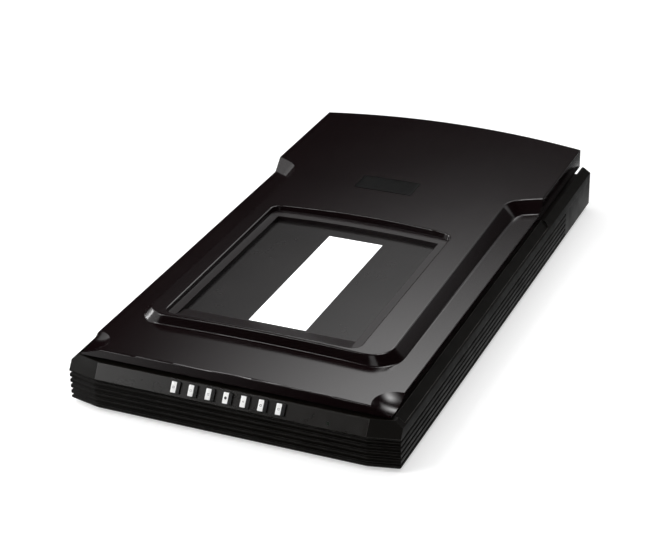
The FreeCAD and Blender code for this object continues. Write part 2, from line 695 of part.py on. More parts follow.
def make_top_bezel():
    """Upper frame: sloped front and sides, glass window, grip recesses and the hinge notch."""
    body = new_body("bezel_frame")
    low = new_sketch(body, "bezel_low", offset=s.parting_height)
    draw(low, base_outline(as_size(0)))
    high = new_sketch(body, "bezel_high", offset=s.base_top_height)
    draw(high, base_outline(as_size(0), s.band_inset))
    loft(body, [low, high])

    inner_low = new_sketch(body, "bezel_inner_low", offset=s.parting_height)
    side_inset = s.side_band_inset + s.bezel_wall
    draw(inner_low, base_outline(side_inset, s.bezel_wall))
    inner_high = new_sketch(body, "bezel_inner_high", offset=plate_bottom)
    draw(inner_high, base_outline(side_inset, s.bezel_wall + s.band_inset))
    loft(body, [inner_low, inner_high], subtract=True)

    slopes = new_sketch(body, "side_slopes", plane="XZ_Plane", offset=-(rear + THROUGH))
    slope = (s.base_top_height - s.side_band_height) / s.side_band_inset
    past = s.side_band_inset / 2
    for side in SIDES:
        outer, inner = side * half_width, side * (half_width - s.side_band_inset)
        draw(slopes, [(outer, s.side_band_height), (outer + side * past, s.side_band_height - past * slope),
                      (outer + side * past, s.base_top_height + THROUGH),
                      (inner, s.base_top_height + THROUGH), (inner, s.base_top_height)])
    pocket(body, slopes, s.base_length + 2 * THROUGH, down=False)

    bosses = new_sketch(body, "bezel_bosses", offset=s.parting_height)
    for x, y in case_screw_places:
        draw_circle(bosses, x, y, s.boss_radius)
    pad(body, bosses, plate_bottom + s.boss_lap - s.parting_height)
    make_hinge_notch(body)

    window = new_sketch(body, "window", offset=s.base_top_height + THROUGH)
    draw_box(window, -s.window_width / 2, front + s.window_setback,
             s.window_width / 2, front + s.window_setback + s.window_length, s.window_corner)
    pocket(body, window, s.bezel_plate + 2 * THROUGH)

    panel_bay = new_sketch(body, "panel_bay", offset=s.base_top_height + THROUGH)
    bay_half = half_width - s.facet_run
    draw_box(panel_bay, -bay_half, front - THROUGH, bay_half, front + s.band_inset)
    pocket(body, panel_bay, s.base_top_height + 2 * THROUGH - s.parting_height)
    under_bay = new_sketch(body, "under_bay", offset=plate_bottom)
    draw_box(under_bay, -bay_half, front - THROUGH, bay_half, front + s.band_inset + s.bezel_wall + THROUGH)
    pocket(body, under_bay, plate_bottom - s.parting_height + THROUGH)

    holes = new_sketch(body, "bezel_holes", offset=s.parting_height)
    for x, y in case_screw_places:
        draw_circle(holes, x, y, s.screw_radius + s.screw_fit)
    pocket(body, holes, s.screw_bite + s.screw_tip_gap, down=False)
    return keep(cut("top_bezel", body, *[grip_cutter(side) for side in SIDES]))


def make_hinge_notch(body):
    """Lowered ledge along the rear, into which the lid's rear edge turns, with the post openings."""
    notch_half = half_width - s.notch_side_margin
    notch_front = rear - s.notch_depth
    wall = new_sketch(body, "notch_wall", offset=s.parting_height)
    wall_half = half_width - (s.notch_side_margin + s.grip_lip) / 2
    draw_box(wall, -wall_half, notch_front - s.notch_plate, wall_half, rear - s.boss_lap)
    pad(body, wall, s.base_top_height - s.parting_height - s.bezel_plate / 2)
    notch = new_sketch(body, "notch", offset=s.base_top_height + THROUGH)
    draw_box(notch, -notch_half, notch_front, notch_half, rear + THROUGH)
    pocket(body, notch, s.base_top_height + THROUGH - s.parting_height - s.notch_plate)
    wells = new_sketch(body, "post_openings", offset=s.base_top_height)
    reach_x = s.post_width / 2 + s.post_clearance
    reach_y = s.post_depth / 2 + s.post_clearance
    for side in SIDES:
        centre = side * s.hinge_spacing / 2
        draw_box(wells, centre - reach_x, hinge_y - reach_y, centre + reach_x, hinge_y + reach_y)
    pocket(body, wells, s.base_top_height - s.parting_height + THROUGH)


def grip_cutter(side):
    """Solid that cuts the shallow grip recess of one side band, with its round rear end."""
    body = new_body("grip_cutter_left" if side < 0 else "grip_cutter_right")
    run, rise = s.side_band_inset, s.base_top_height - s.side_band_height
    length = root(run * run + rise * rise)
    start = front + s.facet_depth + s.grip_front_gap
    end = rear - s.grip_rear_gap
    lip_x = half_width - s.grip_lip
    lip_z = s.side_band_height + s.grip_lip * rise / run
    floor_x = lip_x - s.grip_depth * rise / length
    floor_z = lip_z - s.grip_depth * run / length
    top_x = half_width - run - s.grip_depth - THROUGH
    above = s.base_top_height + 2 * THROUGH
    section = new_sketch(body, "grip_section", plane="XZ_Plane", offset=-start)
    draw(section, [(side * x, z) for x, z in (
        (floor_x, floor_z), (lip_x + THROUGH, lip_z + THROUGH * rise / run), (lip_x, above), (top_x, above),
        (top_x, floor_z + (floor_x - top_x) * rise / run))])
    pad(body, section, end - start + s.grip_corner, up=False)
    plan = new_sketch(body, "grip_plan", offset=above + THROUGH)
    reach = 2 * s.grip_corner
    middle_x = side * (lip_x - reach)
    draw_box(plan, middle_x - 2 * reach, start - 3 * reach, middle_x + 2 * reach, end + 2 * reach)
    draw_box(plan, middle_x - reach, start - 2 * reach, middle_x + reach, end, s.grip_corner)
    pocket(body, plan, s.base_top_height - s.parting_height)
    return body


def make_front_panel():
    """Sloped strip between the facets that carries the buttons."""
    body = new_body("front_panel")
    half = half_width - s.facet_run - s.panel_gap
    section = new_sketch(body, "panel_section", plane="YZ_Plane", offset=-half)
    run = s.panel_thickness * band_length / band_rise
    top_y = front + s.band_inset - s.panel_gap
    lip_z = plate_bottom - s.panel_gap
    draw(section, [(front, s.parting_height), (front + run, s.parting_height),
                   (front + run + (lip_z - s.parting_height) * s.band_inset / band_rise, lip_z),
                   (top_y, lip_z),
                   (top_y, s.base_top_height - s.panel_gap * band_rise / s.band_inset)])
    pad(body, section, 2 * half)

    posts = tilted(body, "panel_posts", -s.panel_thickness)
    board_left, board_right = board_ends()
    for x in (board_left + s.board_width / 2, (board_left + board_right) / 2 + s.button_pitch * 3.5,
              board_right - s.board_width / 2):
        draw_circle(posts, x, band_length / 2, s.panel_post_radius)
    pad(body, posts, s.board_depth - s.panel_thickness, up=False)

    hole = tilted(body, "button_hole", as_size(THROUGH))
    left = first_button() - s.button_width / 2 - s.button_clearance
    low = band_length / 2 - s.button_length / 2 - s.button_clearance
    draw_box(hole, left, low, left + s.button_width + 2 * s.button_clearance,
             low + s.button_length + 2 * s.button_clearance)
    cutter = pocket(body, hole, s.panel_thickness + 2 * THROUGH)
    document.recompute()
    repeat_along(body, cutter, "X_Axis", (s.button_count - 1) * s.button_pitch, SIZES["button_count"])
    light = tilted(body, "light_hole", as_size(THROUGH))
    draw_circle(light, s.light_offset, band_length / 2 - s.light_drop, s.light_radius + s.light_fit)
    pocket(body, light, s.panel_thickness + 2 * THROUGH)
    return keep(body)


def first_button():
    return -(s.button_count - 1) * s.button_pitch / 2


def board_ends():
    """Left and right end of the button board: past the first post, and past the status light."""
    left = first_button() - s.button_pitch * 2.5
    return left, half_width - s.facet_run - s.board_end_margin


def tilted(body, name, lift):
    """A sketch parallel to the sloped front: X along the row, Y up the slope, lifted outwards."""
    foot = (front - lift * band_rise / band_length, s.parting_height + lift * s.band_inset / band_length)
    return new_sketch(body, name, tilt=band_angle, foot=foot)


def make_button(number):
    """Key cap, retaining flange and stem of one button."""
    body = new_body("button_%d" % (number + 1))
    centre = first_button() + number * s.button_pitch
    middle = band_length / 2
    cap = tilted(body, "cap_%d" % number, s.button_rise)
    draw_box(cap, centre - s.button_width / 2, middle - s.button_length / 2,
             centre + s.button_width / 2, middle + s.button_length / 2)
    flange_top = -(s.panel_thickness + s.button_flange_gap)
    pad(body, cap, s.button_rise - flange_top, up=False)
    flange = tilted(body, "flange_%d" % number, flange_top)
    margin = s.button_flange_margin
    reach = s.button_length / 2 - s.button_flange_shy
    draw_box(flange, centre - s.button_width / 2 - margin, middle - reach,
             centre + s.button_width / 2 + margin, middle + reach)
    pad(body, flange, s.button_flange, up=False)
    stem = tilted(body, "stem_%d" % number, flange_top - s.button_flange)
    draw_circle(stem, centre, middle, s.stem_radius)
    stem_end = -(s.board_depth - s.switch_height - s.button_travel - s.stem_gap)
    pad(body, stem, flange_top - s.button_flange - stem_end, up=False)
    return keep(body)


def make_button_board():
    """Circuit board behind the buttons, with one push switch under each stem."""
    board = new_body("button_board")
    plan = tilted(board, "board_plan", -s.board_depth)
    left, right = board_ends()
    draw_box(plan, left, band_length / 2 - s.board_width / 2, right, band_length / 2 + s.board_width / 2)
    pad(board, plan, s.board_thickness, up=False)
    keep(board)
    switches = new_body("tact_switches")
    switches.AllowCompound = True
    first = tilted(switches, "switch_plan", -s.board_depth)
    draw_box(first, first_button() - s.switch_size / 2, band_length / 2 - s.switch_size / 2,
             first_button() + s.switch_size / 2, band_length / 2 + s.switch_size / 2)
    housing = pad(switches, first, s.switch_height - s.switch_tip)
    plunger = tilted(switches, "plunger_plan", -s.board_depth)
    draw_circle(plunger, first_button(), band_length / 2, s.switch_tip_radius)
    tip = pad(switches, plunger, s.switch_height)
    document.recompute()
    row = repeat_along(switches, tip, "X_Axis", (s.button_count - 1) * s.button_pitch, SIZES["button_count"])
    row.Originals = [housing, tip]
    keep(switches)

    light = new_body("status_light")
    level = band_length / 2 - s.light_drop
    pipe = tilted(light, "pipe_plan", s.light_proud)
    draw_circle(pipe, s.light_offset, level, s.light_radius)
    pad(light, pipe, s.board_depth + s.light_proud, up=False)
    lamp = tilted(light, "lamp_plan", s.light_base_height - s.board_depth)
    draw_circle(lamp, s.light_offset, level, s.light_radius + s.light_base)
    pad(light, lamp, s.light_base_height, up=False)
    keep(light)


# ---------------------------------------------------------------------------------------------
# Glass, feet, screws and rear electronics
# ---------------------------------------------------------------------------------------------
def make_glass():
    """Scan glass bonded under the bezel, with the white calibration strip under its rear end."""
    half = s.window_width / 2 + s.glass_margin
    length = s.glass_margin + s.window_length + s.glass_rear_margin
    keep(block("platen_glass", -half, front + s.window_setback - s.glass_margin, glass_bottom,
               2 * half, length, s.glass_thickness))
    keep(block("calibration_strip", -s.window_width / 2,
               front + s.window_setback + s.window_length + s.strip_gap, glass_bottom - s.strip_thickness,
               s.window_width, s.strip_length, s.strip_thickness))


def make_feet():
    """Four rubber feet under the housing."""
    feet = []
    for side in SIDES:
        for y in (front + s.foot_end_inset, rear - s.foot_end_inset):
            x = side * (half_width - s.foot_side_inset)
            feet.append(rod("foot", s.foot_radius, s.foot_height, x, y, 0))
    keep(group("rubber_feet", *feet))


def make_screws():
    """Screws that hold the housing to the bezel from below."""
    screws = []
    seat = s.foot_height + s.screw_clearance
    for x, y in case_screw_places:
        head = rod("screw_head", s.screw_head_radius, s.screw_head_height, x, y, seat)
        shank = rod("screw_shank", s.screw_radius, s.parting_height + s.screw_bite - seat, x, y, seat)
        screws.append(fuse("case_screw", head, shank))
    keep(group("case_screws", *screws))


def make_rear_electronics():
    """Main board on its standoffs and the three sockets that show in the rear wall."""
    top = port_bottom + s.port_fit
    box = main_board_box()
    far = box[3]
    bottom = floor_top + s.standoff_height
    board = plate_of("board_plate", box, bottom, top - bottom)
    lap = s.port_fit
    chips = [block("chip", x, far - back, top - lap, as_size(width), as_size(width), as_size(height))
             for x, back, width, height in CHIPS]
    keep(fuse("main_board", board, *chips))
    for name, port in PORTS.items():
        width, height = port["width"] - 2 * s.port_fit, port["height"] - 2 * s.port_fit
        middle, level = as_size(port["centre"]), top + height / 2
        shell = block(name + "_shell", middle - width / 2, rear - s.port_depth, top, width, s.port_depth,
                      height)
        mouth_y = rear - s.port_mouth_depth
        reach = s.port_mouth_depth + THROUGH
        if name == "data":
            wall, tongue = s.data_wall, s.data_tongue
            mouth = block("data_mouth", middle - width / 2 + wall, mouth_y, top + wall, width - 2 * wall,
                          reach, height - 2 * wall)
            stud = block("data_tongue", middle - tongue / 2, mouth_y - THROUGH, level - tongue / 4, tongue,
                         s.port_mouth_depth - s.data_tongue_setback, tongue / 2)
            keep(fuse("data_socket", cut("data_housing", shell, mouth), stud))
        elif name == "power":
            mouth = rod("power_mouth", s.power_bore, reach, middle, mouth_y, level, axis="Y")
            stud = rod("power_stud", s.power_pin, s.port_mouth_depth, middle, mouth_y - THROUGH, level,
                       axis="Y")
            keep(fuse("power_socket", cut("power_housing", shell, mouth), stud))
        else:
            mouth = rod("adapter_mouth", s.adapter_bore, reach, middle, mouth_y, level, axis="Y")
            keep(cut("adapter_socket", shell, mouth))


# ---------------------------------------------------------------------------------------------
# Carriage and its guides
# ---------------------------------------------------------------------------------------------
def make_guides():
    """Steel rod in its cradles, the two clamps over it and the flat rail on the other side."""
    keep(rod("guide_rod", s.rod_radius, rod_end - rod_start, rod_left, rod_start, s.rod_height, axis="Y"))
    clamps = []
    for y in rod_seats():
        near = y - s.cradle_length / 2
        over = block("clamp_block", rod_left - s.cradle_width / 2, near, s.rod_height, s.cradle_width,
                     s.cradle_length, s.rod_radius + s.clamp_roof)
        bore = rod("clamp_bore", s.rod_radius, s.cradle_length + 2 * THROUGH, rod_left, near - THROUGH,
                   s.rod_height, axis="Y")
        clamps.append(cut("rod_clamp", over, bore))
    keep(group("rod_clamps", *clamps))
    rail_start = rod_start + s.rail_end_gap
    keep(block("slide_rail", rail_middle - s.rail_width / 2, rail_start, floor_top, s.rail_width,
               rod_end - rail_start, s.rail_height - floor_top))


def make_carriage():
    """Moving optics housing: a wide deck under the glass with a narrower keel for the lens."""
    body = new_body("carriage_frame")
    half, wall = s.carriage_half_width, s.carriage_wall
    deck = new_sketch(body, "deck", offset=s.carriage_deck_height)
    draw_box(deck, -half, home, half, tail)
    pad(body, deck, s.carriage_top_height - s.carriage_deck_height)
    keel = new_sketch(body, "keel", offset=s.carriage_deck_height)
    draw_box(keel, s.keel_left, home, s.keel_right, tail)
    pad(body, keel, s.carriage_deck_height - s.carriage_keel_height, up=False)
    saddle = new_sketch(body, "saddle", offset=s.carriage_deck_height)
    saddle_half = s.rod_radius + s.bush_wall + s.saddle_wall
    draw_box(saddle, rod_left - saddle_half, home + s.bush_end_inset, rod_left + saddle_half,
             tail - s.bush_end_inset)
    pad(body, saddle, s.carriage_deck_height - floor_top - s.saddle_gap, up=False)
    deck_inside = new_sketch(body, "deck_inside", offset=s.carriage_top_height)
    draw_box(deck_inside, -half + wall, home + wall, half - wall, tail - wall)
    pocket(body, deck_inside, s.carriage_top_height - deck_floor)
    keel_inside = new_sketch(body, "keel_inside", offset=s.carriage_top_height)
    draw_box(keel_inside, s.keel_left + wall, home + wall, s.keel_right - wall, tail - wall)
    pocket(body, keel_inside, s.carriage_top_height - keel_floor)
    bush_hole = new_sketch(body, "bush_hole", plane="XZ_Plane", offset=-(home - THROUGH))
    draw_circle(bush_hole, rod_left, s.rod_height, s.rod_radius + s.bush_wall + s.bush_clearance)
    pocket(body, bush_hole, s.carriage_length + 2 * THROUGH, down=True)
    lock_hole = new_sketch(body, "lock_hole", plane="XZ_Plane", offset=-(tail + THROUGH))
    draw_circle(lock_hole, lock_x, lock_pin_height, s.lock_pin_radius + s.lock_pin_room)
    pocket(body, lock_hole, wall + 2 * THROUGH, down=False)
    keep(body)

    bushes = []
    for y in (home + s.bush_end_inset, tail - s.bush_end_inset - s.bush_length):
        sleeve = rod("bush_outer", s.rod_radius + s.bush_wall, s.bush_length, rod_left, y, s.rod_height,
                     axis="Y")
        bore = rod("bush_bore", s.rod_radius + s.rod_clearance, s.bush_length + 2 * THROUGH, rod_left,
                   y - THROUGH, s.rod_height, axis="Y")
        bushes.append(cut("rod_bush", sleeve, bore))
    keep(group("rod_bushes", *bushes))
    shoe_bottom = s.rail_height + s.rail_clearance
    keep(block("rail_shoe", rail_middle - s.shoe_width / 2, home + s.shoe_end_inset, shoe_bottom,
               s.shoe_width, s.carriage_length - 2 * s.shoe_end_inset, s.carriage_deck_height - shoe_bottom))
    make_belt_clamp()

    cover = block("cover_plate", -half, home, s.carriage_top_height, 2 * half, s.carriage_length,
                  s.cover_thickness)
    slit = block("cover_slit", -s.window_width / 2, home + s.slit_setback, s.carriage_top_height - THROUGH,
                 s.window_width, s.slit_length, s.cover_thickness + 2 * THROUGH)
    keep(cut("carriage_cover", cover, slit))


def make_belt_clamp():
    """Jaw under the deck that grips the right-hand run of the belt."""
    left = s.belt_line + s.belt_radius - s.clamp_fit
    gap_width = s.belt_thickness + 2 * s.clamp_fit
    bottom = floor_top + s.clamp_foot_gap
    near = home + s.clamp_setback
    jaw = block("clamp_jaw", left - s.clamp_wall, near, bottom, gap_width + 2 * s.clamp_wall, s.clamp_length,
                s.carriage_deck_height - bottom)
    gap = block("clamp_gap", left, near - THROUGH, bottom - THROUGH, gap_width, s.clamp_length + 2 * THROUGH,
                s.belt_height + s.belt_width + s.clamp_fit - bottom + THROUGH)
    keep(cut("belt_clamp", jaw, gap))


def make_optics():
    """Lamp, reflector, folding mirrors, lens and sensor board inside the carriage."""
    half = s.carriage_half_width - s.carriage_wall - s.optics_gap
    lamp_y, lamp_z = home + s.lamp_setback, deck_floor + s.lamp_lift
    keep(rod("scan_lamp", s.lamp_radius, 2 * half, -half, lamp_y, lamp_z, axis="X"))
    trough = rod("trough_outer", s.trough_radius, 2 * half, -half, lamp_y, lamp_z, axis="X")
    hollow = rod("trough_inner", s.trough_radius - s.trough_wall, 2 * (half + THROUGH), -half - THROUGH,
                 lamp_y, lamp_z, axis="X")
    mouth = block("trough_mouth", -half - THROUGH, lamp_y - s.trough_lip, lamp_z - s.trough_lip,
                  2 * (half + THROUGH), 2 * s.trough_radius, 2 * s.trough_radius)
    keep(cut("lamp_reflector", trough, hollow, mouth))

    inset = s.carriage_wall + s.optics_gap
    keel = (s.keel_left + inset, s.keel_right - inset)
    low = (home + s.low_mirror_setback, keel_floor + s.low_mirror_lift, s.keel_mirror_reach, 45, keel)
    high = (tail - s.high_mirror_setback, keel_floor + s.high_mirror_lift, s.keel_mirror_reach, 60, keel)
    first = (home + s.deck_mirror_setback, deck_floor + s.deck_mirror_lift, s.deck_mirror_reach, 30,
             (-half, half))
    mirrors = []
    for y, z, reach, lean, (left, right) in (low, high, first):
        mirror = block("mirror", left, y, z, right - left, reach, s.mirror_thickness)
        mirror.Placement = Placement(mirror.Placement.Base, Rotation(Vector(1, 0, 0), lean))
        mirrors.append(mirror)
    keep(group("scan_mirrors", *mirrors))
    keep(rod("lens_barrel", s.lens_radius, s.lens_length, s.lens_offset, home + s.lens_setback,
             keel_floor + s.lens_radius + s.optics_gap / 3, axis="Y"))
    board_y = tail - s.carriage_wall - s.optics_gap - s.board_thickness
    plate = block("sensor_plate", s.lens_offset - s.sensor_board_width / 2, board_y,
                  keel_floor + s.optics_gap, s.sensor_board_width, s.board_thickness, s.sensor_board_height)
    sensor = block("sensor_chip", s.lens_offset - s.sensor_width / 2, board_y - s.sensor_reach,
                   keel_floor + s.sensor_lift, s.sensor_width, s.sensor_reach + s.board_thickness / 2,
                   s.sensor_height)
    keep(fuse("sensor_board", plate, sensor))


def make_lock():
    """Transport lock: a slider in the floor whose pin enters the carriage's rear wall."""
    plate_bottom_z = s.foot_height + 0.1
    middle = lock_neck_start()
    plate = block("lock_plate", lock_x - s.lock_plate_width / 2, lock_y, plate_bottom_z, s.lock_plate_width,
                  s.lock_plate_length, s.lock_plate_thickness)
    neck = block("lock_neck", lock_x - s.lock_neck_width / 2, middle, plate_bottom_z, s.lock_neck_width,
                 s.lock_neck_length, floor_top + THROUGH - plate_bottom_z)
    head_bottom = floor_top + s.lock_fit
    head = block("lock_head", lock_x - s.lock_head_width / 2, middle, head_bottom, s.lock_head_width,
                 s.lock_head_length, lock_pin_height + 2 * s.lock_pin_radius - head_bottom)
    pin = rod("lock_pin", s.lock_pin_radius, middle + THROUGH - lock_pin_start(), lock_x, lock_pin_start(),
              lock_pin_height, axis="Y")
    grip = block("lock_grip", lock_x - s.lock_neck_width / 2, middle + s.lock_neck_length / 2,
                 s.foot_height - THROUGH, s.lock_neck_width, as_size(1.6), as_size(2))
    keep(fuse("carriage_lock", plate, neck, head, pin, grip))


def lock_pin_start():
    return tail + s.lock_gap - s.lock_travel


# ---------------------------------------------------------------------------------------------
# Belt drive
# ---------------------------------------------------------------------------------------------
PRESSURE_ANGLE = math.radians(20)
ADDENDUM, DEDENDUM = 0.95, 1.25
FLANK_STEPS = 2
COIL_SIDES = 12


def gear_face(teeth, phase):
    """Plane face of an involute spur gear about the origin; phase turns its first tooth."""
    module = s.gear_module.value
    pitch_radius = module * teeth / 2
    base_radius = pitch_radius * math.cos(PRESSURE_ANGLE)
    tip_radius = pitch_radius + ADDENDUM * module
    root_radius = pitch_radius - DEDENDUM * module

    def involute(radius):
        roll = math.sqrt(max((radius / base_radius) ** 2 - 1, 0))
        return roll - math.atan(roll)

    half_tooth = math.pi / (2 * teeth) - s.gear_backlash.value / (4 * pitch_radius)
    start = max(base_radius, root_radius)
    radii = [start + (tip_radius - start) * step / FLANK_STEPS for step in range(FLANK_STEPS + 1)]
    flank = [(radius, half_tooth + involute(pitch_radius) - involute(radius)) for radius in radii]
    if start > root_radius:
        flank.insert(0, (root_radius, flank[0][1]))
    points = []
    for tooth in range(teeth):
        middle = phase + 2 * math.pi * tooth / teeth
        rising = [(radius, -turn) for radius, turn in flank]
        falling = [(radius, turn) for radius, turn in reversed(flank)]
        points += [Vector(radius * math.cos(middle + turn), radius * math.sin(middle + turn), 0)
                   for radius, turn in rising + falling]
    return Part.Face(Part.makePolygon(points + points[:1]))


def toothed_wheel(label, teeth, phase, bottom, thickness, x, y):
    """A spur gear as a plain shape, because its tooth outline is a formula."""
    wheel = document.addObject("Part::Feature", label)
    wheel.Label = label
    wheel.Shape = gear_face(teeth, phase).extrude(Vector(0, 0, thickness.value))
    locate(wheel, x, y, bottom)
    return wheel


def pulley(label, x, y):
    """Belt pulley: a drum between two flanges that keep the belt on it."""
    drum_bottom = s.belt_height - s.pulley_side_gap
    drum_height = s.belt_width + 2 * s.pulley_side_gap
    drum = rod(label + "_drum", s.belt_radius - s.pulley_drum_gap, drum_height, x, y, drum_bottom)
    flanges = [rod(label + "_flange", s.belt_radius + s.pulley_lip, s.pulley_flange, x, y, level)
               for level in (drum_bottom - s.pulley_flange, drum_bottom + drum_height)]
    return [drum] + flanges


def make_drive():
    """Motor, reduction gear, toothed-belt loop and sprung idler."""
    gear_x = s.belt_line
    hub_bottom = floor_top + s.hub_foot_gap
    bore_length = s.motor_plate_height
    wheel = toothed_wheel("gear_teeth", SIZES["gear_teeth"], 0, gear_bottom, s.gear_thickness, gear_x,
                          drive_y)
    hub = rod("gear_hub", s.hub_radius, gear_bottom + THROUGH - hub_bottom, gear_x, drive_y, hub_bottom)
    bore = rod("gear_bore", s.axle_radius + s.axle_clearance, bore_length, gear_x, drive_y, 0)
    keep(cut("drive_gear", fuse("gear_blank", wheel, hub, *pulley("drive", gear_x, drive_y)), bore))
    plate_top = s.motor_plate_height + s.motor_plate_thickness
    axle_foot = floor_top + s.spigot_height
    keep(rod("gear_axle", s.axle_radius, plate_top - axle_foot, gear_x, drive_y, axle_foot))

    play = s.gear_roof_gap / 3
    half_tooth = math.pi / SIZES["pinion_teeth"]
    pinion = toothed_wheel("pinion_teeth", SIZES["pinion_teeth"], math.pi + half_tooth, gear_bottom - play,
                           s.gear_thickness + 2 * play, motor_x, drive_y)
    shaft = rod("pinion_shaft", s.shaft_radius, plate_top + s.shaft_reach - gear_bottom + play, motor_x,
                drive_y, gear_bottom - play)
    keep(fuse("motor_pinion", pinion, shaft))
    can = rod("motor_can", s.motor_radius, s.motor_height, motor_x, drive_y, plate_top)
    collar = rod("motor_collar", s.collar_radius, s.collar_height + THROUGH, motor_x, drive_y,
                 plate_top - s.collar_height)
    shaft_hole = rod("motor_hole", s.shaft_radius + s.shaft_clearance,
                     s.collar_height + s.shaft_reach + 2 * THROUGH, motor_x, drive_y,
                     plate_top - s.collar_height - THROUGH)
    keep(cut("stepper_motor", fuse("motor_blank", can, collar), shaft_hole))

    plate = new_body("motor_plate")
    outline = new_sketch(plate, "plate_outline", offset=s.motor_plate_height)
    left, near, right, far = motor_plate_box()
    step_x, step_y = right - s.motor_plate_tongue, near + s.motor_plate_step
    draw(outline, [(left, step_y), (step_x, step_y), (step_x, near), (right, near), (right, far),
                   (left, far)])
    draw_circle(outline, gear_x, drive_y, s.axle_radius)
    draw_circle(outline, motor_x, drive_y, s.collar_radius)
    pad(plate, outline, s.motor_plate_thickness)
    keep(plate)

    loop = new_body("drive_belt")
    outer = new_sketch(loop, "belt_outer", offset=s.belt_height)
    draw_slot(outer, s.belt_radius + s.belt_thickness)
    draw_slot(outer, s.belt_radius + s.belt_fit)
    pad(loop, outer, s.belt_width)
    keep(loop)
    make_idler(gear_x)


def draw_slot(sketch, radius):
    """Closed loop of two straight runs and two half turns round the pulleys."""
    x = s.belt_line
    draw(sketch, [(x + radius, idler_y), (x + radius, drive_y, radius), (x, drive_y + radius, radius),
                  (x - radius, drive_y), (x - radius, idler_y, radius), (x, idler_y - radius, radius)])


def make_idler(x):
    """Idler pulley on a sliding bracket that a coil spring pulls towards the floor post."""
    bore = rod("idler_bore", s.axle_radius + s.axle_clearance, s.motor_plate_height, x, idler_y, 0)
    keep(cut("idler_pulley", fuse("idler_blank", *pulley("idler", x, idler_y)), bore))
    near = idler_y - s.idler_base_width / 2 + THROUGH
    base = block("idler_base", x - s.idler_base_width / 2, near, floor_top, s.idler_base_width,
                 s.idler_base_length, s.idler_base_thickness)
    pin = rod("idler_pin", s.axle_radius, s.belt_height + s.belt_width + s.idler_pin_reach - floor_top, x,
              idler_y, floor_top)
    tab = block("idler_tab", x - 2 * s.spring_radius, spring_start - s.idler_base_thickness, floor_top,
                4 * s.spring_radius, s.idler_base_thickness, s.spring_tab_height)
    keep(fuse("idler_bracket", base, pin, tab))
    make_tension_spring(x)


def make_tension_spring(x):
    """Coil spring between the idler bracket's tab and its post on the floor."""
    length = (s.spring_length - 2 * (s.spring_wire + s.spring_gap)).value
    turns, coil_radius, wire = SIZES["spring_turns"], s.spring_radius.value, s.spring_wire.value
    count = turns * COIL_SIDES
    points = [Vector(coil_radius * math.cos(math.tau * step / COIL_SIDES),
                     coil_radius * math.sin(math.tau * step / COIL_SIDES), length * step / count)
              for step in range(count + 1)]
    around = ((wire, 0), (0, wire), (-wire, 0), (0, -wire))
    corners = [points[0] + Vector(along, 0, up) for along, up in around]
    section = Part.makePolygon(corners + corners[:1])
    spring = document.addObject("Part::Feature", "tension_spring")
    spring.Label = "tension_spring"
    bent_at_corners = 1
    spring.Shape = Part.makePolygon(points).makePipeShell([section], True, False, bent_at_corners)
    spring.Placement = Placement(Vector(0, 0, 0), Rotation(Vector(1, 0, 0), -90))
    locate(spring, x, spring_start + s.spring_wire + s.spring_gap,
           floor_top + s.spring_radius + s.spring_lift)
    keep(spring)


# ---------------------------------------------------------------------------------------------
# Hinge
# ---------------------------------------------------------------------------------------------
HINGE_SIDES = dict(zip(("left", "right"), SIDES))


def make_hinge_posts():
    """Two posts that slide in the base's sleeves and end in a knuckle round the hinge axis."""
    for name, side in HINGE_SIDES.items():
        body = new_body("hinge_post_" + name)
        centre = side * s.hinge_spacing / 2
        left = centre - s.post_width / 2
        stem = new_sketch(body, name + "_stem", plane="YZ_Plane", offset=left)
        draw_box(stem, hinge_y - s.post_depth / 2, floor_top + s.post_foot_gap, hinge_y + s.post_depth / 2,
                 s.hinge_height)
        pad(body, stem, s.post_width)
        knuckle = new_sketch(body, name + "_knuckle", plane="YZ_Plane", offset=left)
        draw_circle(knuckle, hinge_y, s.hinge_height, s.knuckle_radius)
        pad(body, knuckle, s.post_width)
        bore = new_sketch(body, name + "_bore", plane="YZ_Plane", offset=left - THROUGH)
        draw_circle(bore, hinge_y, s.hinge_height, s.pin_radius + s.pin_clearance)
        pocket(body, bore, s.post_width + 2 * THROUGH, down=False)
        keep(body)


def make_hinge_brackets():
    """Steel brackets in the lid that hold the hinge pins on both sides of each knuckle."""
    brackets, pins = [], []
    ear_inside = s.post_width / 2 + s.hinge_side_gap
    ear_outside = ear_inside + s.ear_thickness
    reach = s.knuckle_radius
    roof = s.hinge_height + s.knuckle_radius + s.bracket_gap
    for name, side in HINGE_SIDES.items():
        centre = side * s.hinge_spacing / 2
        shell = block(name + "_bracket_shell", centre - ear_outside, hinge_y - reach, frame_top,
                      2 * ear_outside, 2 * reach, roof + s.bracket_plate - frame_top)
        flange = block(name + "_bracket_flange", centre - ear_outside - s.bracket_flange, hinge_y - reach,
                       frame_top, 2 * (ear_outside + s.bracket_flange), 2 * reach, s.bracket_plate)
        throat = block(name + "_bracket_throat", centre - ear_inside, hinge_y - reach - THROUGH,
                       frame_top - THROUGH, 2 * ear_inside, 2 * (reach + THROUGH), roof - frame_top + THROUGH)
        bore = rod(name + "_bracket_bore", s.pin_radius, 2 * (ear_outside + THROUGH),
                   centre - ear_outside - THROUGH, hinge_y, s.hinge_height, axis="X")
        brackets.append(cut(name + "_bracket", fuse(name + "_bracket_blank", shell, flange), throat, bore))
        pins.append(rod(name + "_pin", s.pin_radius, 2 * ear_outside, centre - ear_outside,
                        hinge_y, s.hinge_height, axis="X"))
    keep(group("hinge_brackets", *brackets))
    keep(group("hinge_pins", *pins))


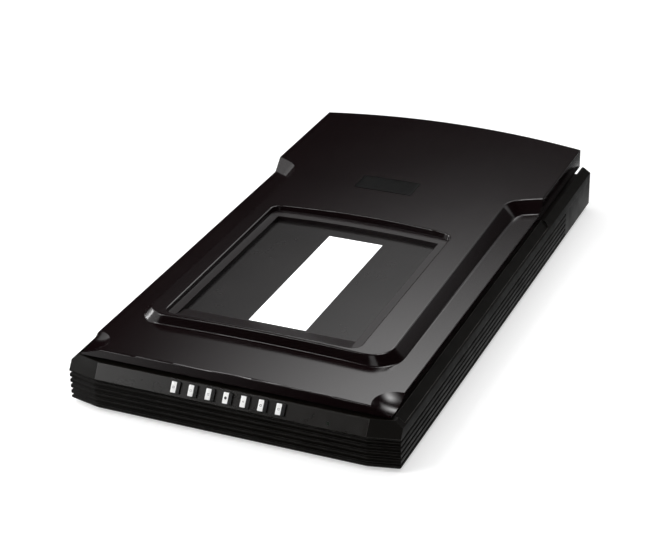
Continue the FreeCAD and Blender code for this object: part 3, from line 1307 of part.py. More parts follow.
# ---------------------------------------------------------------------------------------------
# Lid
# ---------------------------------------------------------------------------------------------
def lid_outline(inset, land=None):
    """Plan of the lid: straight but for a bowed rear edge; land leaves the front corners out."""
    side = lid_half - inset
    corner_rear = rear - s.lid_corner_setin - inset
    bow = bow_radius(s.lid_width, s.lid_overhang + s.lid_corner_setin)
    ends = [(side, corner_rear, bow), (-side, corner_rear)]
    if land is None:
        return [(-side, lid_front + inset), (side, lid_front + inset)] + ends
    return [(-side, lid_front + inset + land), (-side + land, lid_front + inset),
            (side - land, lid_front + inset), (side, lid_front + inset + land)] + ends


def plateau_outline(level):
    """Plan of the raised plateau and the hump behind it, at a height above the lid's low border."""
    inset = level * s.hump_run / s.hump_rise
    front_y = front + s.plateau_setback + level * s.plateau_front_run / s.hump_rise
    slant = root(s.hump_slant_run * s.hump_slant_run + s.hump_slant_depth * s.hump_slant_depth)
    sine, cosine = s.hump_slant_depth / slant, s.hump_slant_run / slant
    half = s.plateau_width / 2 - inset
    corner = s.plateau_corner - inset / 2
    bend = s.hump_bend_radius + inset
    bend_x = half + bend * (1 - sine)
    edge_x = lid_half + PAST_THE_LID
    slant_y = hump_front + inset / cosine
    bend_y = slant_y - (lid_half - bend_x) * sine / cosine
    edge_y = slant_y + (edge_x - lid_half) * sine / cosine
    hump_rear = rear + s.lid_overhang + 2 * PAST_THE_LID
    turn_y = bend_y - bend * cosine
    right = [(half - corner, front_y, corner), (half, front_y + corner), (half, turn_y, -bend),
             (bend_x, bend_y), (edge_x, edge_y), (edge_x, hump_rear)]
    left = [(-edge_x, hump_rear), (-edge_x, edge_y), (-bend_x, bend_y, -bend), (-half, turn_y),
            (-half, front_y + corner, corner), (-half + corner, front_y)]
    return right + left


PAST_THE_LID = 6  # how far the lid's cutting and lofting shapes reach past its edges


def tray_outline(inset, front_shelf=0, rear_shelf=0):
    """Plan of the film tray with its rear edge bowed backwards."""
    left, right = tray_side(-1, inset), tray_side(1, inset)
    corner = s.tray_corner - inset
    front_y, rear_y = tray_front + inset + front_shelf, tray_rear - inset - rear_shelf
    bow = bow_radius(s.tray_width - 2 * s.tray_corner, s.tray_bow)
    return [(left + corner, front_y), (right - corner, front_y, corner), (right, front_y + corner),
            (right, rear_y - corner, corner), (right - corner, rear_y, bow), (left + corner, rear_y, corner),
            (left, rear_y - corner), (left, front_y + corner, corner)]


def tray_side(side, inset):
    """Place of the tray's left or right edge; the tray sits a little left of the lid's middle."""
    return s.tray_offset + side * (s.tray_width / 2 - inset)


def crown_section(body, name, y, edge_height, ceiling):
    """Sketch of everything above the crowned top at one station along the lid."""
    section = new_sketch(body, name, plane="XZ_Plane", offset=-y)
    reach = lid_half + PAST_THE_LID
    drop = s.lid_crown * ((reach / lid_half) * (reach / lid_half) - 1)
    outer = bow_radius(2 * reach, s.lid_crown + drop)
    draw(section, [(reach, edge_height - drop, outer), (-reach, edge_height - drop), (-reach, ceiling),
                   (reach, ceiling)])
    return section


def make_lid_cover():
    """Moulded lid: crowned border, raised plateau and hump, film tray opening and corner scoops."""
    body = new_body("lid_cover")
    border = new_sketch(body, "border", plane="XZ_Plane", offset=-lid_front)
    crown = bow_radius(s.lid_width, s.lid_crown)
    draw(border, [(-lid_half, s.lid_bottom_height), (lid_half, s.lid_bottom_height),
                  (lid_half, s.lid_edge_height, crown), (-lid_half, s.lid_edge_height)])
    pad(body, border, rear + s.lid_overhang + THROUGH - lid_front, up=False)

    low, high = s.lid_edge_height - s.lid_wall / 2, s.hump_rear_height + s.lid_crown + PAST_THE_LID
    foot = new_sketch(body, "plateau_foot", offset=low)
    draw(foot, plateau_outline(low - s.lid_edge_height))
    top = new_sketch(body, "plateau_top", offset=high)
    draw(top, plateau_outline(high - s.lid_edge_height))
    loft(body, [foot, top])
    crown_hump(body, ceiling=high + PAST_THE_LID)

    trim = new_sketch(body, "trim", offset=high + PAST_THE_LID)
    beyond = 5 * PAST_THE_LID
    draw_box(trim, -lid_half - beyond, lid_front - beyond, lid_half + beyond, rear + s.lid_overhang + beyond)
    draw(trim, lid_outline(as_size(0)))
    pocket(body, trim, high + PAST_THE_LID)
    cut_tray(body)
    round_lid(body)
    hollow_lid(body)
    cut_scoops(body)
    return keep(body)


def crown_hump(body, ceiling):
    """Trim the plateau and the hump to a crowned top that rises towards the rear."""
    plateau_front = front + s.plateau_setback
    rise = (s.hump_rear_height - s.hump_front_height) / (rear - plateau_front)
    stations = []
    for name, y in (("crown_front", lid_front - PAST_THE_LID),
                    ("crown_rear", rear + s.lid_overhang + 3 * PAST_THE_LID)):
        edge_height = s.hump_front_height + rise * (y - plateau_front)
        stations.append(crown_section(body, name, y, edge_height, ceiling))
    loft(body, stations, subtract=True)


def cut_tray(body):
    """Opening of the film tray: a mouth, a ledge round the floor and a ramp down from the front."""
    ledge = s.tray_ledge_height
    top = ledge + 2 * PAST_THE_LID
    step = s.tray_wall_run / (s.hump_front_height - ledge + s.lid_crown)
    low = new_sketch(body, "tray_ledge", offset=ledge)
    draw(low, tray_outline(s.tray_wall_run))
    high = new_sketch(body, "tray_mouth", offset=top)
    draw(high, tray_outline(s.tray_wall_run - step * (top - ledge)))
    loft(body, [low, high], subtract=True)
    floor = new_sketch(body, "tray_floor", offset=s.lid_bottom_height - THROUGH)
    draw(floor, tray_outline(tray_well(), s.tray_front_shelf, s.tray_rear_shelf))
    pocket(body, floor, ledge - s.lid_bottom_height + 2 * THROUGH, down=False)
    left, right = tray_side(-1, tray_well()), tray_side(1, tray_well())
    near = tray_front + s.tray_wall_run + THROUGH
    far = tray_front + tray_well() + s.tray_front_shelf
    fall = (ledge - s.tray_ramp_end_height) / (far - near)
    ramp = new_sketch(body, "tray_ramp", plane="YZ_Plane", offset=left)
    past = far + THROUGH
    draw(ramp, [(near, ledge), (past, s.tray_ramp_end_height - fall), (past, ledge + THROUGH),
                (near, ledge + THROUGH)])
    pocket(body, ramp, right - left, down=False)


def tray_well():
    """Inset of the tray's lower walls from the tray's rim."""
    return s.tray_ledge_width + 2 * s.tray_wall_run


def round_lid(body):
    """Round the moulding's outer ridges and valleys, one family of edges at a time."""
    ledge, border_top = s.tray_ledge_height.value, s.lid_edge_height.value

    def in_tray(edge):
        box = edge.BoundBox
        between = box.YMin > tray_front.value - 1 and box.YMax < (tray_rear + s.tray_bow).value + 1
        middle = s.tray_offset.value
        reach = max(middle - box.XMin, box.XMax - middle)
        return between and reach < s.tray_width.value / 2 + 1

    def on_side_wall(edge):
        box = edge.BoundBox
        return max(box.XMin, -box.XMax) > lid_half.value - 0.1

    def on_rear_wall(edge):
        return edge.BoundBox.YMax > rear.value - s.lid_corner_setin.value + 1

    def steep(edge):
        box = edge.BoundBox
        return box.ZLength > 0.4 * max(box.XLength, box.YLength)

    def ridge(edge):
        box = edge.BoundBox
        outside = on_side_wall(edge) or on_rear_wall(edge) or in_tray(edge)
        return box.ZMin > s.hump_front_height.value and not steep(edge) and not outside

    def valley(edge):
        box = edge.BoundBox
        low = border_top - 0.5 < box.ZMin and box.ZMax < border_top + s.lid_crown.value + 0.5
        inside = box.YMin > lid_front.value + 1 and max(-box.XMin, box.XMax) < lid_half.value + 0.1
        return low and inside and not steep(edge) and not on_side_wall(edge) and box.YMax < rear.value

    def rim(edge):
        return in_tray(edge) and edge.BoundBox.ZMin > ledge + 1 and not steep(edge)

    def top_border(edge):
        box = edge.BoundBox
        on_front = close_to(box.YMax, lid_front) and box.ZMin > border_top - 0.5
        return box.ZMin > border_top - 0.5 and not steep(edge) and (
            on_front or on_side_wall(edge) or on_rear_wall(edge))

    round_edges(body, s.valley_round, valley)
    round_edges(body, s.ridge_round, ridge)
    round_edges(body, s.tray_rim_round, rim)
    round_edges(body, s.edge_round, top_border)


def hollow_lid(body):
    """Space inside the lid, from below, with bosses left for the screws and the corners left solid."""
    start = s.lid_bottom_height - THROUGH
    corner = s.hollow_corner
    low = new_sketch(body, "hollow_border", offset=start)
    draw(low, lid_outline(s.lid_wall, s.lid_corner_land))
    for x, y in lid_screw_places:
        draw_circle(low, x, y, s.boss_radius)
    pocket(body, low, s.lid_edge_height - s.lid_wall - start, down=False)
    seat = new_sketch(body, "boss_relief", offset=start)
    for x, y in lid_screw_places:
        draw_circle(seat, x, y, s.boss_radius + s.boss_lap)
    pocket(body, seat, frame_top - start, down=False)

    ring = s.plateau_width / 2 - s.hump_run - s.lid_wall
    middle = new_sketch(body, "hollow_plateau", offset=start)
    draw_box(middle, -ring, tray_front + THROUGH, ring, rear - s.notch_depth - THROUGH, corner)
    pocket(body, middle, s.tray_floor_height - start, down=False)
    high = new_sketch(body, "hollow_hump", offset=start)
    hump_lap = hump_front + s.hump_slant_run + s.hollow_corner
    draw_box(high, -ring + corner, tray_rear + s.hump_hollow_inset, ring - corner,
             hump_lap + s.hump_hollow_lap, corner)
    pocket(body, high, s.hump_front_height + s.lid_crown - s.hump_hollow_roof - start, down=False)
    back = new_sketch(body, "hollow_back", offset=start)
    back_half = lid_half - s.plateau_border + THROUGH
    bow = bow_radius(s.lid_width, s.lid_overhang + s.lid_corner_setin) - s.lid_wall
    back_rear = rear + s.lid_overhang - s.lid_wall - bow + root(bow * bow - back_half * back_half)
    draw(back, [(-back_half, hump_lap), (back_half, hump_lap), (back_half, back_rear, bow),
                (-back_half, back_rear)])
    pocket(body, back, s.hump_rear_height - s.lid_wall - start, down=False)

    slots = new_sketch(body, "post_slots", offset=start)
    draw_post_slots(slots, s.knuckle_room)
    roof = s.hinge_height + s.knuckle_radius + s.bracket_gap + s.hinge_side_gap
    pocket(body, slots, roof - start, down=False)
    pilots = new_sketch(body, "lid_pilots", offset=start)
    for x, y in lid_screw_places:
        draw_circle(pilots, x, y, s.lid_screw_radius)
    pocket(body, pilots, s.lid_edge_height - THROUGH - start, down=False)


def draw_post_slots(sketch, room):
    """Openings at the lid's rear edge, through which the hinge posts come up."""
    reach = s.post_width / 2 + s.hinge_slot_gap
    for side in SIDES:
        centre = side * s.hinge_spacing / 2
        draw_box(sketch, centre - reach, hinge_y - s.knuckle_radius - room, centre + reach,
                 rear + s.lid_overhang + PAST_THE_LID)


def cut_scoops(body):
    """Round finger scoops that bite into both front corners of the lid."""
    lift = root(s.scoop_radius * s.scoop_radius - s.scoop_rim_radius * s.scoop_rim_radius)
    for side in SIDES:
        scoop = body.newObject("PartDesign::SubtractiveSphere", "scoop_left" if side < 0 else "scoop_right")
        base_plane = [item for item in body.Origin.OriginFeatures if item.Role == "XY_Plane"][0]
        scoop.AttachmentSupport = [(base_plane, "")]
        scoop.MapMode = "FlatFace"
        bind(scoop, Radius=s.scoop_radius)
        locate(scoop, side * (lid_half + s.scoop_side_reach), lid_front + s.scoop_front_inset,
               s.lid_edge_height + lift, property_name="AttachmentOffset")
        body.Tip = scoop


def make_lid_frame():
    """Under panel of the lid: closes it from below and holds the light, the mat and the brackets."""
    body = new_body("lid_frame")
    plan = new_sketch(body, "frame_plan", offset=frame_bottom)
    draw(plan, lid_outline(s.lid_wall + s.frame_gap, s.lid_corner_land))
    pad(body, plan, s.frame_thickness)
    through = s.frame_thickness + 2 * THROUGH
    slots = new_sketch(body, "frame_slots", offset=frame_bottom - THROUGH)
    draw_post_slots(slots, s.knuckle_room / 2)
    pocket(body, slots, through, down=False)
    opening = new_sketch(body, "film_opening", offset=frame_bottom - THROUGH)
    draw_box(opening, *film_window_box(as_size(0)))
    pocket(body, opening, through, down=False)
    holes = new_sketch(body, "frame_holes", offset=frame_bottom - THROUGH)
    for x, y in lid_screw_places:
        draw_circle(holes, x, y, s.lid_screw_radius + s.lid_screw_fit)
    pocket(body, holes, through, down=False)
    sinks = new_sketch(body, "frame_sinks", offset=frame_bottom)
    for x, y in lid_screw_places:
        draw_circle(sinks, x, y, s.lid_screw_head + s.screw_clearance)
    pocket(body, sinks, s.lid_screw_recess + s.lid_screw_head_height, down=False)
    keep(body)

    screws = []
    seat = frame_bottom + s.lid_screw_recess
    for x, y in lid_screw_places:
        head = rod("lid_screw_head", s.lid_screw_head, s.lid_screw_head_height, x, y, seat)
        tip = s.lid_edge_height - THROUGH - s.screw_clearance
        shank = rod("lid_screw_shank", s.lid_screw_radius, tip - seat, x, y, seat)
        screws.append(fuse("lid_screw", head, shank))
    keep(group("lid_screws", *screws))

    height = frame_bottom - s.base_top_height - s.bumper_gap
    bumpers = [rod("bumper", s.bumper_radius, height, side * (lid_half - s.bumper_inset), y,
                   s.base_top_height + s.bumper_gap)
               for side in SIDES for y in (front + s.bumper_front_gap, rear - s.bumper_rear_gap)]
    keep(group("lid_bumpers", *bumpers))
    edge = s.mat_edge_gap
    mat_bottom = plate_bottom + s.mat_clearance
    keep(block("document_mat", -s.window_width / 2 + edge, front + s.window_setback + edge, mat_bottom,
               s.window_width - 2 * edge, s.window_length - 2 * edge, frame_bottom - mat_bottom))


def light_box():
    """Plan of the light strip: left, front, right, rear."""
    half = s.light_strip_width / 2
    return -half, front + s.light_strip_front_gap, half, rear - s.light_strip_rear_gap


def film_window_box(margin):
    return grown(light_box(), s.film_window_margin + margin)


def make_lid_light():
    """Tray floor, lit strip, light guide, tubes, film window and the lamp's supply board."""
    panel = new_body("tray_panel")
    plan = new_sketch(panel, "panel_plan", offset=tray_panel_bottom)
    draw(plan, tray_outline(tray_well() - s.tray_wall_run - s.tray_panel_margin))
    draw_box(plan, *grown(light_box(), s.light_strip_fit))
    pad(panel, plan, s.tray_panel_thickness)
    keep(panel)
    keep(plate_of("light_strip", light_box(), tray_panel_bottom,
                  s.tray_panel_thickness - s.light_strip_recess))
    keep(plate_of("film_window", film_window_box(-s.light_strip_fit), frame_bottom + s.frame_recess,
                  s.frame_thickness - s.frame_recess))

    guide = grown(light_box(), s.guide_side_margin)
    guide_bottom = tray_panel_bottom - s.guide_gap - s.guide_thickness
    keep(plate_of("light_guide", guide, guide_bottom, s.guide_thickness))
    left, near, right, far = guide
    tube_x = right + s.tube_gap + s.tube_radius
    level = guide_bottom + s.guide_thickness / 2
    tubes = [rod("light_tube", s.tube_radius, far - near, side * tube_x, near, level, axis="Y")
             for side in SIDES]
    keep(group("light_tubes", *tubes))
    side_reach = tube_x + s.tube_radius + s.reflector_gap
    inner = (-side_reach, near - s.reflector_gap, side_reach, far + s.reflector_gap)
    height = tray_panel_bottom - s.reflector_top_gap - frame_top
    tub = plate_of("reflector_outer", grown(inner, s.reflector_thickness), frame_top, height)
    hollow = plate_of("reflector_hollow", inner, frame_top - THROUGH, height + 2 * THROUGH)
    keep(cut("light_reflector", tub, hollow))
    make_inverter_board()


def make_inverter_board():
    """Supply board of the lid's lamps, lying on the lid frame behind the tray."""
    near = rear - s.inverter_rear_gap
    inset = as_size(5)
    board = block("inverter_plate", s.inverter_left, near, frame_top, s.inverter_width, s.inverter_length,
                  s.board_thickness)
    coil = block("inverter_coil", s.inverter_left + 2 * inset, near + inset,
                 frame_top + s.board_thickness / 2, s.inverter_width - 4 * inset,
                 s.inverter_length - 2 * inset, inset + THROUGH)
    keep(fuse("inverter_board", board, coil))


# ---------------------------------------------------------------------------------------------
# Build, check and export
# ---------------------------------------------------------------------------------------------
make_base_case()
make_top_bezel()
make_front_panel()
make_button_board()
for button in range(SIZES["button_count"]):
    make_button(button)
make_glass()
make_feet()
make_screws()
make_rear_electronics()
make_guides()
make_carriage()
make_optics()
make_lock()
make_drive()
make_hinge_posts()
make_hinge_brackets()
make_lid_cover()
make_lid_frame()
make_lid_light()
document.recompute()

for item in document.Objects:
    if {"Invalid", "Error"} & set(item.State):
        raise RuntimeError("%s failed to rebuild: %s" % (item.Label, item.State))
for piece in nodes:
    if piece.Shape.isNull() or not piece.Shape.isValid():
        raise RuntimeError("%s has no valid shape" % piece.Label)
for piece in nodes:
    piece.Shape.exportStep(os.path.join(NODE_FOLDER, piece.Label + ".step"))
    print("%-20s %2d solids %10.1f mm3" % (piece.Label, len(piece.Shape.Solids), piece.Shape.Volume))
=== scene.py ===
# %% [markdown]
# # A flatbed scanner with a lit lid
#
# The object is a wide, low machine of dark moulded plastic: a grooved housing with a
# slanted front band and seven keys, and a lid whose top is moulded into a shallow
# border, a raised plateau and a tray with a lit strip for scanning film. The shapes of
# the housing, the lid and the works inside come ready made from the engineering model.
# This lesson gives them their finishes, and adds the small parts that only matter to
# the eye. First the model is loaded as a fixed frame: nothing in it is moved.

# %% Load the scanner
import math

import bpy
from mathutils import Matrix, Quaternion, Vector


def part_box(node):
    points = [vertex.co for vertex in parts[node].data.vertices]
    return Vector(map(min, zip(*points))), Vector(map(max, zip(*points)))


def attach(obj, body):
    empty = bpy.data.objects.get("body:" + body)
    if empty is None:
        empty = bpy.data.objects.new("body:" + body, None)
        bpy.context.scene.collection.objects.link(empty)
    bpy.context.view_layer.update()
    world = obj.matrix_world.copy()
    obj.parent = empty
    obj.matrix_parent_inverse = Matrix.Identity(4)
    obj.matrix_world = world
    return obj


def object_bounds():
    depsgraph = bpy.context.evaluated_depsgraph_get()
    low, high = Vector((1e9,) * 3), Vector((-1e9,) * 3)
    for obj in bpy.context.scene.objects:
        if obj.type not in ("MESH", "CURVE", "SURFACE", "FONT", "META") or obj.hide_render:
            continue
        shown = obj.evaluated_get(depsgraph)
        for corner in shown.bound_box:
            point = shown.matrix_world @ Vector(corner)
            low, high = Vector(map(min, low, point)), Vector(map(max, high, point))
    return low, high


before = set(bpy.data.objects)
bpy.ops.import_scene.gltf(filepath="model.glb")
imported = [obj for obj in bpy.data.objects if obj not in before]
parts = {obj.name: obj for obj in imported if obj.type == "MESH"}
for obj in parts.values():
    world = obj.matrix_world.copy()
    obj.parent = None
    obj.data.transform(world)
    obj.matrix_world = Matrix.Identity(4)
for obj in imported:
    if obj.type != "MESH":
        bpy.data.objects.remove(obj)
model_low, model_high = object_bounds()
MM = 0.001
print("parts:", len(parts), "size in mm:", [round(v / MM, 1) for v in model_high - model_low])

# %% [markdown]
# ## Where the photographer stood
#
# The picture was taken from in front and to the right, looking down on the lid, with a
# long lens from about a metre and a half away. The place, the angles and the lens were
# worked out from the corners of the housing, so the edges fall where the picture has
# them. The small shift frames the object without turning the camera.

# %% Place the camera
LENS = 97.44
CAMERA_PLACE = Vector((0.5710, -1.3412, 0.7769))
CAMERA_AROUND = math.radians(21.926)
CAMERA_DOWN = math.radians(27.510)
CAMERA_ROLL = math.radians(-0.26)
FRAME_SHIFT = (-0.0797, -0.0013)


def look_from(around, down, roll):
    """Rotation of a camera that looks back at the object from that direction."""
    level = math.cos(down)
    back = Vector((math.sin(around) * level, -math.cos(around) * level, math.sin(down)))
    return back.to_track_quat("Z", "Y") @ Quaternion((0, 0, 1), roll)


camera_data = bpy.data.cameras.new("photographer")
camera_data.lens = LENS
camera_data.sensor_width = 36
camera_data.shift_x, camera_data.shift_y = FRAME_SHIFT
camera = bpy.data.objects.new("photographer", camera_data)
camera.location = CAMERA_PLACE
camera.rotation_mode = "QUATERNION"
camera.rotation_quaternion = look_from(CAMERA_AROUND, CAMERA_DOWN, CAMERA_ROLL)
bpy.context.scene.collection.objects.link(camera)
bpy.context.scene.camera = camera
bpy.context.scene.view_settings.view_transform = "Standard"
print("camera distance in m:", round(CAMERA_PLACE.length, 3))

# %% [markdown]
# ## The table and the white surround
#
# The scanner stands on a plain pale sheet in a white surround. The sheet is a little
# brighter to the camera than its own colour makes it, so that it joins the surround
# while the shadow under the housing stays. The Light Path node makes that possible: it
# tells a ray that comes from the camera, from a mirror-like surface or through glass
# from one that only carries light about. For that last kind the surround is dim, so
# that it doesn't wash out the black plastic.


# %% Table and surround
def clear_selection():
    """Deselect everything, because an operator acts on all that is selected."""
    bpy.ops.object.select_all(action="DESELECT")


def join(tree, source, target):
    tree.links.new(source, target)


def add_node(tree, kind, **values):
    """Add a node and set its plain values: a socket by name, else a property."""
    node = tree.nodes.new("ShaderNode" + kind)
    for name, value in values.items():
        socket = node.inputs.get(name.replace("_", " "))
        if socket is not None:
            socket.default_value = value
        else:
            setattr(node, name, value)
    return node


def seen_directly(tree):
    """1 for rays from the camera, from a mirror-like surface or through glass."""
    path = add_node(tree, "LightPath")
    either = add_node(tree, "Math", operation="MAXIMUM")
    any_of = add_node(tree, "Math", operation="MAXIMUM")
    join(tree, path.outputs["Is Camera Ray"], either.inputs[0])
    join(tree, path.outputs["Is Glossy Ray"], either.inputs[1])
    join(tree, either.outputs[0], any_of.inputs[0])
    join(tree, path.outputs["Is Transmission Ray"], any_of.inputs[1])
    return any_of.outputs[0]


TABLE_COLOUR = (0.70, 0.70, 0.70, 1)
TABLE_LIFT = 0.48
SURROUND_FILL = 0.35
clear_selection()
bpy.ops.mesh.primitive_plane_add(size=12, location=(0, 0, 0))
table_sheet = bpy.context.object
table_sheet.name = "table_sheet"
table_finish = bpy.data.materials.new("pale_table")
table_finish.use_nodes = True
tree = table_finish.node_tree
tree.nodes.clear()
sheet = add_node(tree, "BsdfDiffuse", Color=TABLE_COLOUR)
lift = add_node(tree, "Emission", Color=(1, 1, 1, 1))
raise_to_white = add_node(tree, "Math", operation="MULTIPLY")
raise_to_white.inputs[1].default_value = TABLE_LIFT
both = add_node(tree, "AddShader")
out = add_node(tree, "OutputMaterial")
join(tree, seen_directly(tree), raise_to_white.inputs[0])
join(tree, raise_to_white.outputs[0], lift.inputs["Strength"])
join(tree, sheet.outputs[0], both.inputs[0])
join(tree, lift.outputs[0], both.inputs[1])
join(tree, both.outputs[0], out.inputs["Surface"])
table_sheet.data.materials.append(table_finish)

surround = bpy.data.worlds.new("white_surround")
bpy.context.scene.world = surround
surround.use_nodes = True
tree = surround.node_tree
tree.nodes.clear()
sky = add_node(tree, "Background", Color=(1, 1, 1, 1))
strength = add_node(tree, "MapRange")
strength.inputs["To Min"].default_value = SURROUND_FILL
join(tree, seen_directly(tree), strength.inputs["Value"])
join(tree, strength.outputs["Result"], sky.inputs["Strength"])
join(tree, sky.outputs[0], add_node(tree, "OutputWorld").inputs["Surface"])
print("table and surround placed")

# %% [markdown]
# ## The lamps
#
# A lamp at the front left lights the left end of the front band. A low one at the left
# puts the highlight on the front left corner of the plateau, and a small one high up
# in front picks out the edges that face it. An even overhead light, too broad to cast a hard
# shadow, brings every colour to the level it is written at. It is kept out of the
# reflections, where it would lie over the plastic like a grey veil.


# %% Lamps
def soft_lamp(name, place, aim, width, height, power):
    """Broad rectangular lamp at place, turned towards aim."""
    lamp = bpy.data.lights.new(name, "AREA")
    lamp.shape = "RECTANGLE"
    lamp.size, lamp.size_y = width, height
    lamp.energy = power
    holder = bpy.data.objects.new(name, lamp)
    holder.location = place
    holder.rotation_mode = "QUATERNION"
    holder.rotation_quaternion = (Vector(place) - Vector(aim)).to_track_quat("Z", "Y")
    bpy.context.scene.collection.objects.link(holder)
    return holder


soft_lamp("left_lamp", (-1.40, -1.15, 0.95), (0, -0.1, 0.03), 0.8, 0.7, 11)
soft_lamp("side_lamp", (-2.0, 0.1, 0.46), (-0.1, 0, 0.05), 0.6, 0.5, 8)
soft_lamp("front_lamp", (-0.575, -0.952, 1.276), (0, -0.1, 0.05), 0.34, 0.24, 3)

even_light = bpy.data.lights.new("overhead", "SUN")
even_light.energy = 1.9
even_light.angle = math.radians(110)
overhead = bpy.data.objects.new("overhead", even_light)
overhead.rotation_mode = "QUATERNION"
overhead.rotation_quaternion = Vector((-0.35, 0.3, 1)).to_track_quat("Z", "Y")
overhead.visible_glossy = False
bpy.context.scene.collection.objects.link(overhead)
print("lamps placed")

# %% [markdown]
# ## Cards that only reflections see
#
# Black plastic is lit by what it reflects. A tall panel behind the object glows round a
# spot at the left and fades to black from there: it shows as the sheen that grows
# towards the lid's front right corner. Dark cards in the air and flat on the table keep
# the other faces deep black: studios call such a card a flag. Some of them glow softly
# in one place, for the slope at the right, the scooped corner, the front band and the
# lid's front edge. Camera, shadows and even light pass all of them by.


# %% Cards
def dark_card(name, place, aim, width, height, glow=0, centre=(0, 0, 0), fade=(1, 1, 1)):
    """Black card that only reflections see; it can glow round a centre and fade from it."""
    clear_selection()
    bpy.ops.mesh.primitive_plane_add(size=1, location=(0, 0, 0))
    card = bpy.context.object
    card.name = name
    card.scale = (width, height, 1)
    card.location = place
    card.rotation_mode = "QUATERNION"
    card.rotation_quaternion = (Vector(place) - Vector(aim)).to_track_quat("Z", "Y")
    bpy.ops.object.transform_apply(location=True, rotation=True, scale=True)
    felt = bpy.data.materials.new(name)
    felt.use_nodes = True
    tree = felt.node_tree
    tree.nodes.clear()
    shine = add_node(tree, "Emission", Color=(1, 1, 1, 1))
    spot = add_node(tree, "Mapping")
    spot.inputs["Scale"].default_value = [1 / reach for reach in fade]
    spot.inputs["Location"].default_value = [-at / reach for at, reach in zip(centre, fade)]
    fading = add_node(tree, "TexGradient", gradient_type="QUADRATIC_SPHERE")
    power = add_node(tree, "Math", operation="MULTIPLY")
    power.inputs[1].default_value = glow
    join(tree, add_node(tree, "TexCoord").outputs["Object"], spot.inputs["Vector"])
    join(tree, spot.outputs[0], fading.inputs["Vector"])
    join(tree, fading.outputs["Fac"], power.inputs[0])
    join(tree, power.outputs[0], shine.inputs["Strength"])
    join(tree, shine.outputs[0], add_node(tree, "OutputMaterial").inputs["Surface"])
    card.data.materials.append(felt)
    card.visible_camera = False
    card.visible_diffuse = False
    card.visible_shadow = False
    card.visible_transmission = False
    return card


dark_card("rear_panel", (0, 2.0, 2.6), (0, 0, 2.6), 8.0, 5.2, glow=7.5,
          centre=(-0.3, 2.0, 2.0), fade=(1.58, 1.0, 1.09))
dark_card("right_flag", (1.5, 0.9, 0.8), (0.1, 0, 0.05), 3.2, 1.8)
dark_card("top_flag", (0.3, -0.4, 2.2), (0.3, -0.4, 0), 5.0, 3.2, glow=12,
          centre=(0.55, 0.42, 2.2), fade=(1.0, 0.85, 1))
dark_card("right_front_flag", (1.35, -0.80, 0.75), (0.1, -0.2, 0.05), 1.9, 1.5)
dark_card("front_flag", (-0.70, -1.80, 1.27), (0, -0.1, 0.05), 1.7, 1.4, glow=4,
          centre=(-1.15, -1.78, 1.04), fade=(0.40, 0.40, 0.40))
dark_card("front_low_flag", (-0.35, -2.2, 0.36), (-0.35, 0, 0.36), 3.2, 0.74)
dark_card("front_sheet", (0.1, -0.716, 0.0006), (0.1, -0.716, -1), 1.4, 0.9, glow=1.5,
          centre=(-0.30, -0.33, 0), fade=(0.36, 0.25, 1))
dark_card("right_sheet", (0.563, 0.1, 0.0006), (0.563, 0.1, -1), 0.8, 1.0)
dark_card("right_glow", (0.76, 1.19, 0.70), (-0.05, -0.08, 0.055), 1.0, 0.8, glow=3.2,
          centre=(0.76, 1.19, 0.70), fade=(0.42, 0.42, 0.30))
dark_card("left_sheet", (-0.80, 0.6, 0.0006), (-0.80, 0.6, -1), 1.28, 1.8)
print("cards placed")

# %% [markdown]
# ## How a finish is built
#
# Every finish below starts from the same four ideas. A broad cloudy pattern keeps a
# large face from looking like flat paint. A fine grain lifts and lowers the surface by
# a few hundredths of a millimetre, as the texture of a mould does. The roughness
# follows its own pattern, so a reflection is never even. And an edge is worn. All the
# patterns are laid out in the object's own metres, so they stay with a part that
# moves. First come the helpers that make a pattern and turn it into numbers or colours.


# %% Patterns, numbers and colours
def start_finish(name):
    """New finish: its node tree, its shader and the object's own coordinates."""
    finish = bpy.data.materials.new(name)
    finish.use_nodes = True
    tree = finish.node_tree
    tree.nodes.clear()
    shader = add_node(tree, "BsdfPrincipled")
    join(tree, shader.outputs[0], add_node(tree, "OutputMaterial").inputs["Surface"])
    place = add_node(tree, "TexCoord").outputs["Object"]
    return finish, tree, shader, place


def stretched(tree, place, stretch):
    """Coordinates scaled differently along each axis, for brushed and drawn patterns."""
    mapping = add_node(tree, "Mapping")
    mapping.inputs["Scale"].default_value = stretch
    join(tree, place, mapping.inputs["Vector"])
    return mapping.outputs[0]


def cloud(tree, place, patch, detail=3.0, seed=0.0):
    """Cloudy pattern whose patches are about that size in metres."""
    noise = add_node(tree, "TexNoise", noise_dimensions="4D")
    noise.inputs["W"].default_value = seed
    noise.inputs["Scale"].default_value = 1 / patch
    noise.inputs["Detail"].default_value = detail
    join(tree, place, noise.inputs["Vector"])
    return noise.outputs["Fac"]


def spread(tree, source, low, high, start=0.3, end=0.7):
    """Turn a pattern into numbers between low and high."""
    remap = add_node(tree, "MapRange")
    limits = {"From Min": start, "From Max": end, "To Min": low, "To Max": high}
    for socket, value in limits.items():
        remap.inputs[socket].default_value = value
    join(tree, source, remap.inputs["Value"])
    return remap.outputs["Result"]


def colour_mix(tree, share, first, second):
    """Blend two colours by a pattern; each is a colour or another node's output."""
    mix = add_node(tree, "Mix", data_type="RGBA")
    join(tree, share, mix.inputs["Factor"])
    for socket, colour in ((mix.inputs[6], first), (mix.inputs[7], second)):
        if isinstance(colour, tuple):
            socket.default_value = (*colour, 1)
        else:
            join(tree, colour, socket)
    return mix.outputs[2]


def multiply(tree, first, second):
    times = add_node(tree, "Math", operation="MULTIPLY")
    for socket, value in ((times.inputs[0], first), (times.inputs[1], second)):
        if isinstance(value, (int, float)):
            socket.default_value = value
        else:
            join(tree, value, socket)
    return times.outputs[0]


